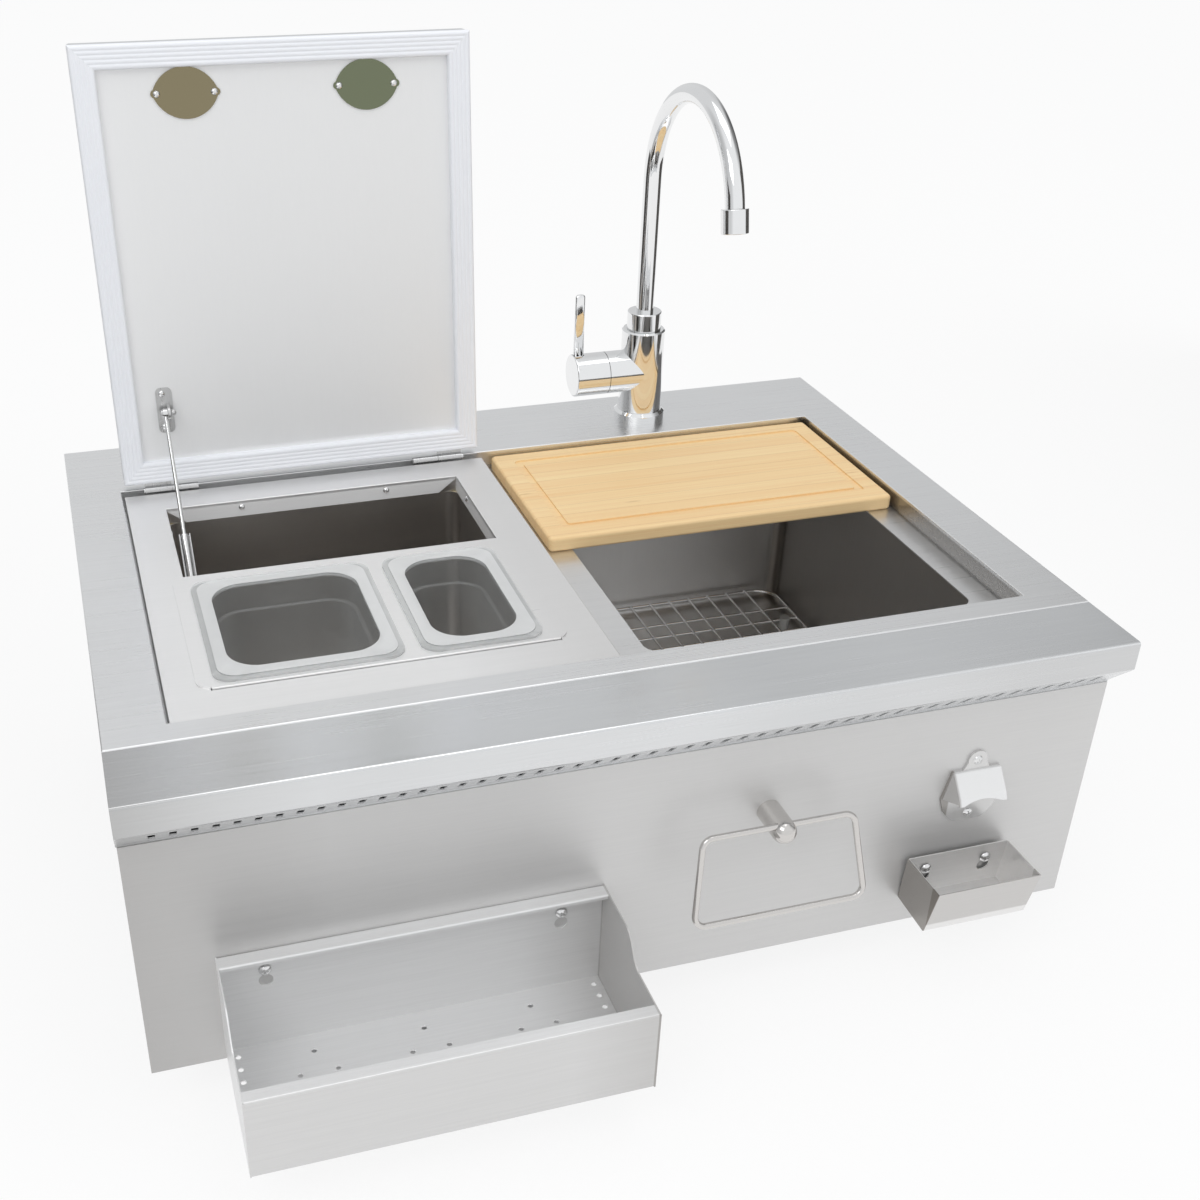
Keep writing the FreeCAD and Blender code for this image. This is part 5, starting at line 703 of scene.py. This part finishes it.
# %% [markdown]
# The lever is a flat bar whose faces are a little rounded, which is why it shows light and dark side by
# side. It is lofted here through rings of superellipses that shrink at the top, within the box of the plain
# bar. The first ring is the foot, and the others crowd together in the last three millimetres.

# %% Lever bar
ROUND_TOP = 0.003       # height of the rounded end
FLAT_SHARE = 0.55       # how wide the flat on top of it is


def lofted_bar(low, high, rings=9, sides=32, power=2.6):
    middle, half = (low + high) / 2, (high - low) / 2
    made = bmesh.new()
    loops = []
    for i in range(rings):
        down = (1 - i / (rings - 1)) ** 2 * ROUND_TOP if i else half.z * 2
        shrink = FLAT_SHARE + (1 - FLAT_SHARE) * math.sqrt(min(1.0, down / ROUND_TOP))
        loop = []
        for k in range(sides):
            turn = 2 * math.pi * k / sides
            across, deep = (math.copysign(abs(f) ** (2 / power), f) for f in (math.cos(turn), math.sin(turn)))
            loop.append(made.verts.new((middle.x + half.x * shrink * across,
                                        middle.y + half.y * shrink * deep, high.z - down)))
        loops.append(loop)
    for lower, upper in zip(loops, loops[1:]):
        for k in range(sides):
            m = (k + 1) % sides
            made.faces.new((lower[k], lower[m], upper[m], upper[k]))
    made.faces.new(loops[-1])
    made.faces.new(loops[0][::-1])
    for face in made.faces:
        face.smooth = True
    bmesh.ops.recalc_face_normals(made, faces=made.faces)
    mesh = bpy.data.meshes.new("lever")
    made.to_mesh(mesh)
    made.free()
    mesh.materials.append(chrome)
    return mesh


lever_low, lever_high = (Vector(corner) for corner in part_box("handle_lever"))
lever = keep("handle_lever_bar", lofted_bar(lever_low, lever_high), "handle")
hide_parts("handle_lever")

# %% [markdown]
# The lid gasket is a soft vinyl strip with five rounded ribs, mitred at the corners. Each point of its
# section becomes a rectangle set in from the lid's edge, and neighbouring rectangles are joined, which
# mitres every rib by itself. The loop is drawn on the closed lid and then turned open about the hinge, as
# the lid is.

# %% Lid gasket
HINGE = Vector((0, 506.5, 13.6))
LID_OPEN = Matrix.Rotation(math.radians(-94), 3, "X")


def opened(point):
    """A point of the closed lid, in millimetres, where it goes when the lid stands open."""
    return HINGE + LID_OPEN @ (Vector(point) - HINGE)


RIB_POINTS = 7


def gasket_section(width, deep, ribs, rise):
    """(distance in from the lid's edge, height off the liner) across the strip, with its edges chamfered."""
    section = [(0.0, 0.0), (0.0, deep - 2.2), (0.5, deep - 1.0)]
    for i in range(ribs):
        for k in range(RIB_POINTS):
            over_rib = (k + 0.5) / RIB_POINTS
            section.append((0.9 + (i + over_rib) / ribs * (width - 1.8),
                            deep - rise + rise * math.sin(math.pi * over_rib)))
    return section + [(width - 0.5, deep - 1.0), (width, deep - 2.2), (width, 0.0)]


def lid_gasket(x0, x1, y0, y1, z_liner):
    """A closed strip round the rectangle from (x0, y0) to (x1, y1), on the liner at height z_liner."""
    made = bmesh.new()
    loops = []
    for inset, lift in gasket_section(width=21.5, deep=8.0, ribs=5, rise=0.6):
        left, right_edge, front, back = x0 + inset, x1 - inset, y0 + inset, y1 - inset
        corners = ((left, front), (right_edge, front), (right_edge, back), (left, back))
        loops.append([made.verts.new(opened((x, y, z_liner - lift)) * MM) for x, y in corners])
    for near_loop, far_loop in zip(loops, loops[1:] + loops[:1]):
        for i in range(4):
            k = (i + 1) % 4
            made.faces.new((near_loop[i], near_loop[k], far_loop[k], far_loop[i]))
    bmesh.ops.recalc_face_normals(made, faces=made.faces)
    mesh = bpy.data.meshes.new("gasket")
    made.to_mesh(mesh)
    made.free()
    mesh.materials.append(gasket_vinyl)
    return mesh


gasket = keep("lid_gasket_strip", lid_gasket(-376.5, -7.0, 85.5, 499.0, 19.3), "lid")
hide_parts("lid_gasket")

# %% [markdown]
# The studio: a plain pale floor under the object. Where the camera sees it, straight or in a mirror, most
# of it is plain white from Light Path, so that the background is white without more light on the object.
# The rest is an ordinary pale surface that keeps the shadow. Under the object and behind the speed rail,
# where the real photograph has nothing white to show through, the floor is left as it is.

# %% Floor
FLOOR_Z = cad_bounds[0][2] - 0.004
WHITE_SHARE = 0.82


def pale_floor():
    f = Finish("pale_floor")
    rays = f.node("ShaderNodeLightPath").outputs
    seen = Number(f, rays["Is Camera Ray"]).math("MAXIMUM", rays["Is Glossy Ray"]).math(
        "MAXIMUM", rays["Is Transmission Ray"])
    speck = f.noise((30.0, 30.0, 30.0))
    plain = f.node("ShaderNodeBsdfDiffuse", None, {0: f.mix(speck, tone(0.84), tone(0.86))})
    lit = f.node("ShaderNodeEmission", None, {0: (1.0, 1.0, 1.0), 1: 1.03})
    below_box = (f.x.between(-0.41, -0.38) * f.x.between(0.41, 0.38)
                 * f.y.between(0.12, 0.16) * f.y.between(0.60, 0.57))
    below_rail = (f.x.between(-0.33, -0.31) * f.x.between(-0.02, -0.04)
                  * f.y.between(-0.010, 0.0) * f.y.between(0.16, 0.12))
    share = seen * WHITE_SHARE * (1.0 - below_box.math("MAXIMUM", below_rail))
    mixed = f.node("ShaderNodeMixShader", None, {0: share, 1: plain.outputs[0], 2: lit.outputs[0]})
    f.node("ShaderNodeOutputMaterial", None, {"Surface": mixed.outputs[0]})
    return f.material


def stage_piece(name, points, faces, material):
    mesh = bpy.data.meshes.new(name)
    mesh.from_pydata(points, [], faces)
    mesh.materials.append(material)
    piece = bpy.data.objects.new(name, mesh)
    scene.collection.objects.link(piece)
    return piece


FLOOR_HALF = 9
floor_corners = [(x * FLOOR_HALF, y * FLOOR_HALF, FLOOR_Z) for x, y in ((-1, -1), (1, -1), (1, 1), (-1, 1))]
stage_piece("floor", floor_corners, [(0, 1, 2, 3)], pale_floor())
print("floor at", round(FLOOR_Z, 3))

# %% [markdown]
# Polished metal with nothing dark to reflect looks like paper. A photographer stands dark cards beside the
# object, out of the picture, and the chrome gets its dark edges from them. Two such cards stand behind the
# object, one on each side, and the camera doesn't see them.

# %% Dark cards
LEFT_CARD, LEFT_TOP = ((-0.95, 0.1), (-1.15, 1.3)), 0.45
RIGHT_CARD, RIGHT_TOP = ((1.20, 0.0), (1.75, 1.3)), 0.80
card_points = []
for (foot, far_foot), top in ((LEFT_CARD, LEFT_TOP), (RIGHT_CARD, RIGHT_TOP)):
    card_points += [(*foot, FLOOR_Z), (*far_foot, FLOOR_Z), (*far_foot, top), (*foot, top)]
card_grey = dull("card_grey", (0.09, 0.085, 0.08), (0.13, 0.12, 0.11), 0.8, 20.0, 0.0001)
cards = stage_piece("dark_cards", card_points, [(0, 1, 2, 3), (4, 5, 6, 7)], card_grey)
cards.visible_camera = False
print("cards", 2)

# %% [markdown]
# The world is a white room with a few darker zones, to the rear and at both sides, for the broad
# reflections in the sheets. The camera sees it plain white. Two large soft lamps, above the front and
# straight overhead, give the object its shape.

# %% World and lamps
world = bpy.data.worlds.new("white_room")
scene.world = world
world.use_nodes = True
room = Graph(world.node_tree)
ray = room.node("ShaderNodeLightPath").outputs["Is Camera Ray"]
looking = room.node("ShaderNodeTexCoord").outputs["Generated"]
direction = room.node("ShaderNodeSeparateXYZ", None, {0: looking})
to_side, to_back = (Number(room, direction.outputs[i]) for i in range(2))
rear = to_back.between(-0.3, 0.6)
dim_side = rear * to_side.between(0.1, 0.8)
right_room = to_side.between(0.55, 0.75) * to_back.between(-0.5, 0.0)
left_room = to_side.between(-0.60, -0.85)
level = 0.93 - rear * 0.19 - dim_side * 0.15 - right_room * 0.50 - left_room * 0.26
room_colour = room.node("ShaderNodeCombineColor", None, {0: level * 0.99, 1: level, 2: level * 1.01})
seen = room.node("ShaderNodeMix", {"data_type": "RGBA"}, {
    0: ray, 6: room_colour.outputs[0], 7: (1.0, 1.0, 1.0)})
background = room.node("ShaderNodeBackground", None, {0: seen.outputs[2], 1: 1.0})
room.node("ShaderNodeOutputWorld", None, {0: background.outputs[0]})


def softbox(name, place, aim, size, watts):
    lamp = bpy.data.objects.new(name, bpy.data.lights.new(name, "AREA"))
    lamp.data.shape, lamp.data.size, lamp.data.size_y = "RECTANGLE", size[0], size[1]
    lamp.data.energy = watts
    lamp.location = place
    lamp.rotation_euler = (Vector(aim) - Vector(place)).to_track_quat("-Z", "Y").to_euler()
    scene.collection.objects.link(lamp)
    return lamp


softbox("key_softbox", (-1.6, -1.2, 2.2), (0, 0.2, 0), (1.6, 1.2), 12)
softbox("top_softbox", (0.2, 0.5, 2.6), (0, 0.3, 0), (2.0, 1.4), 10)
print("world and lamps ready")
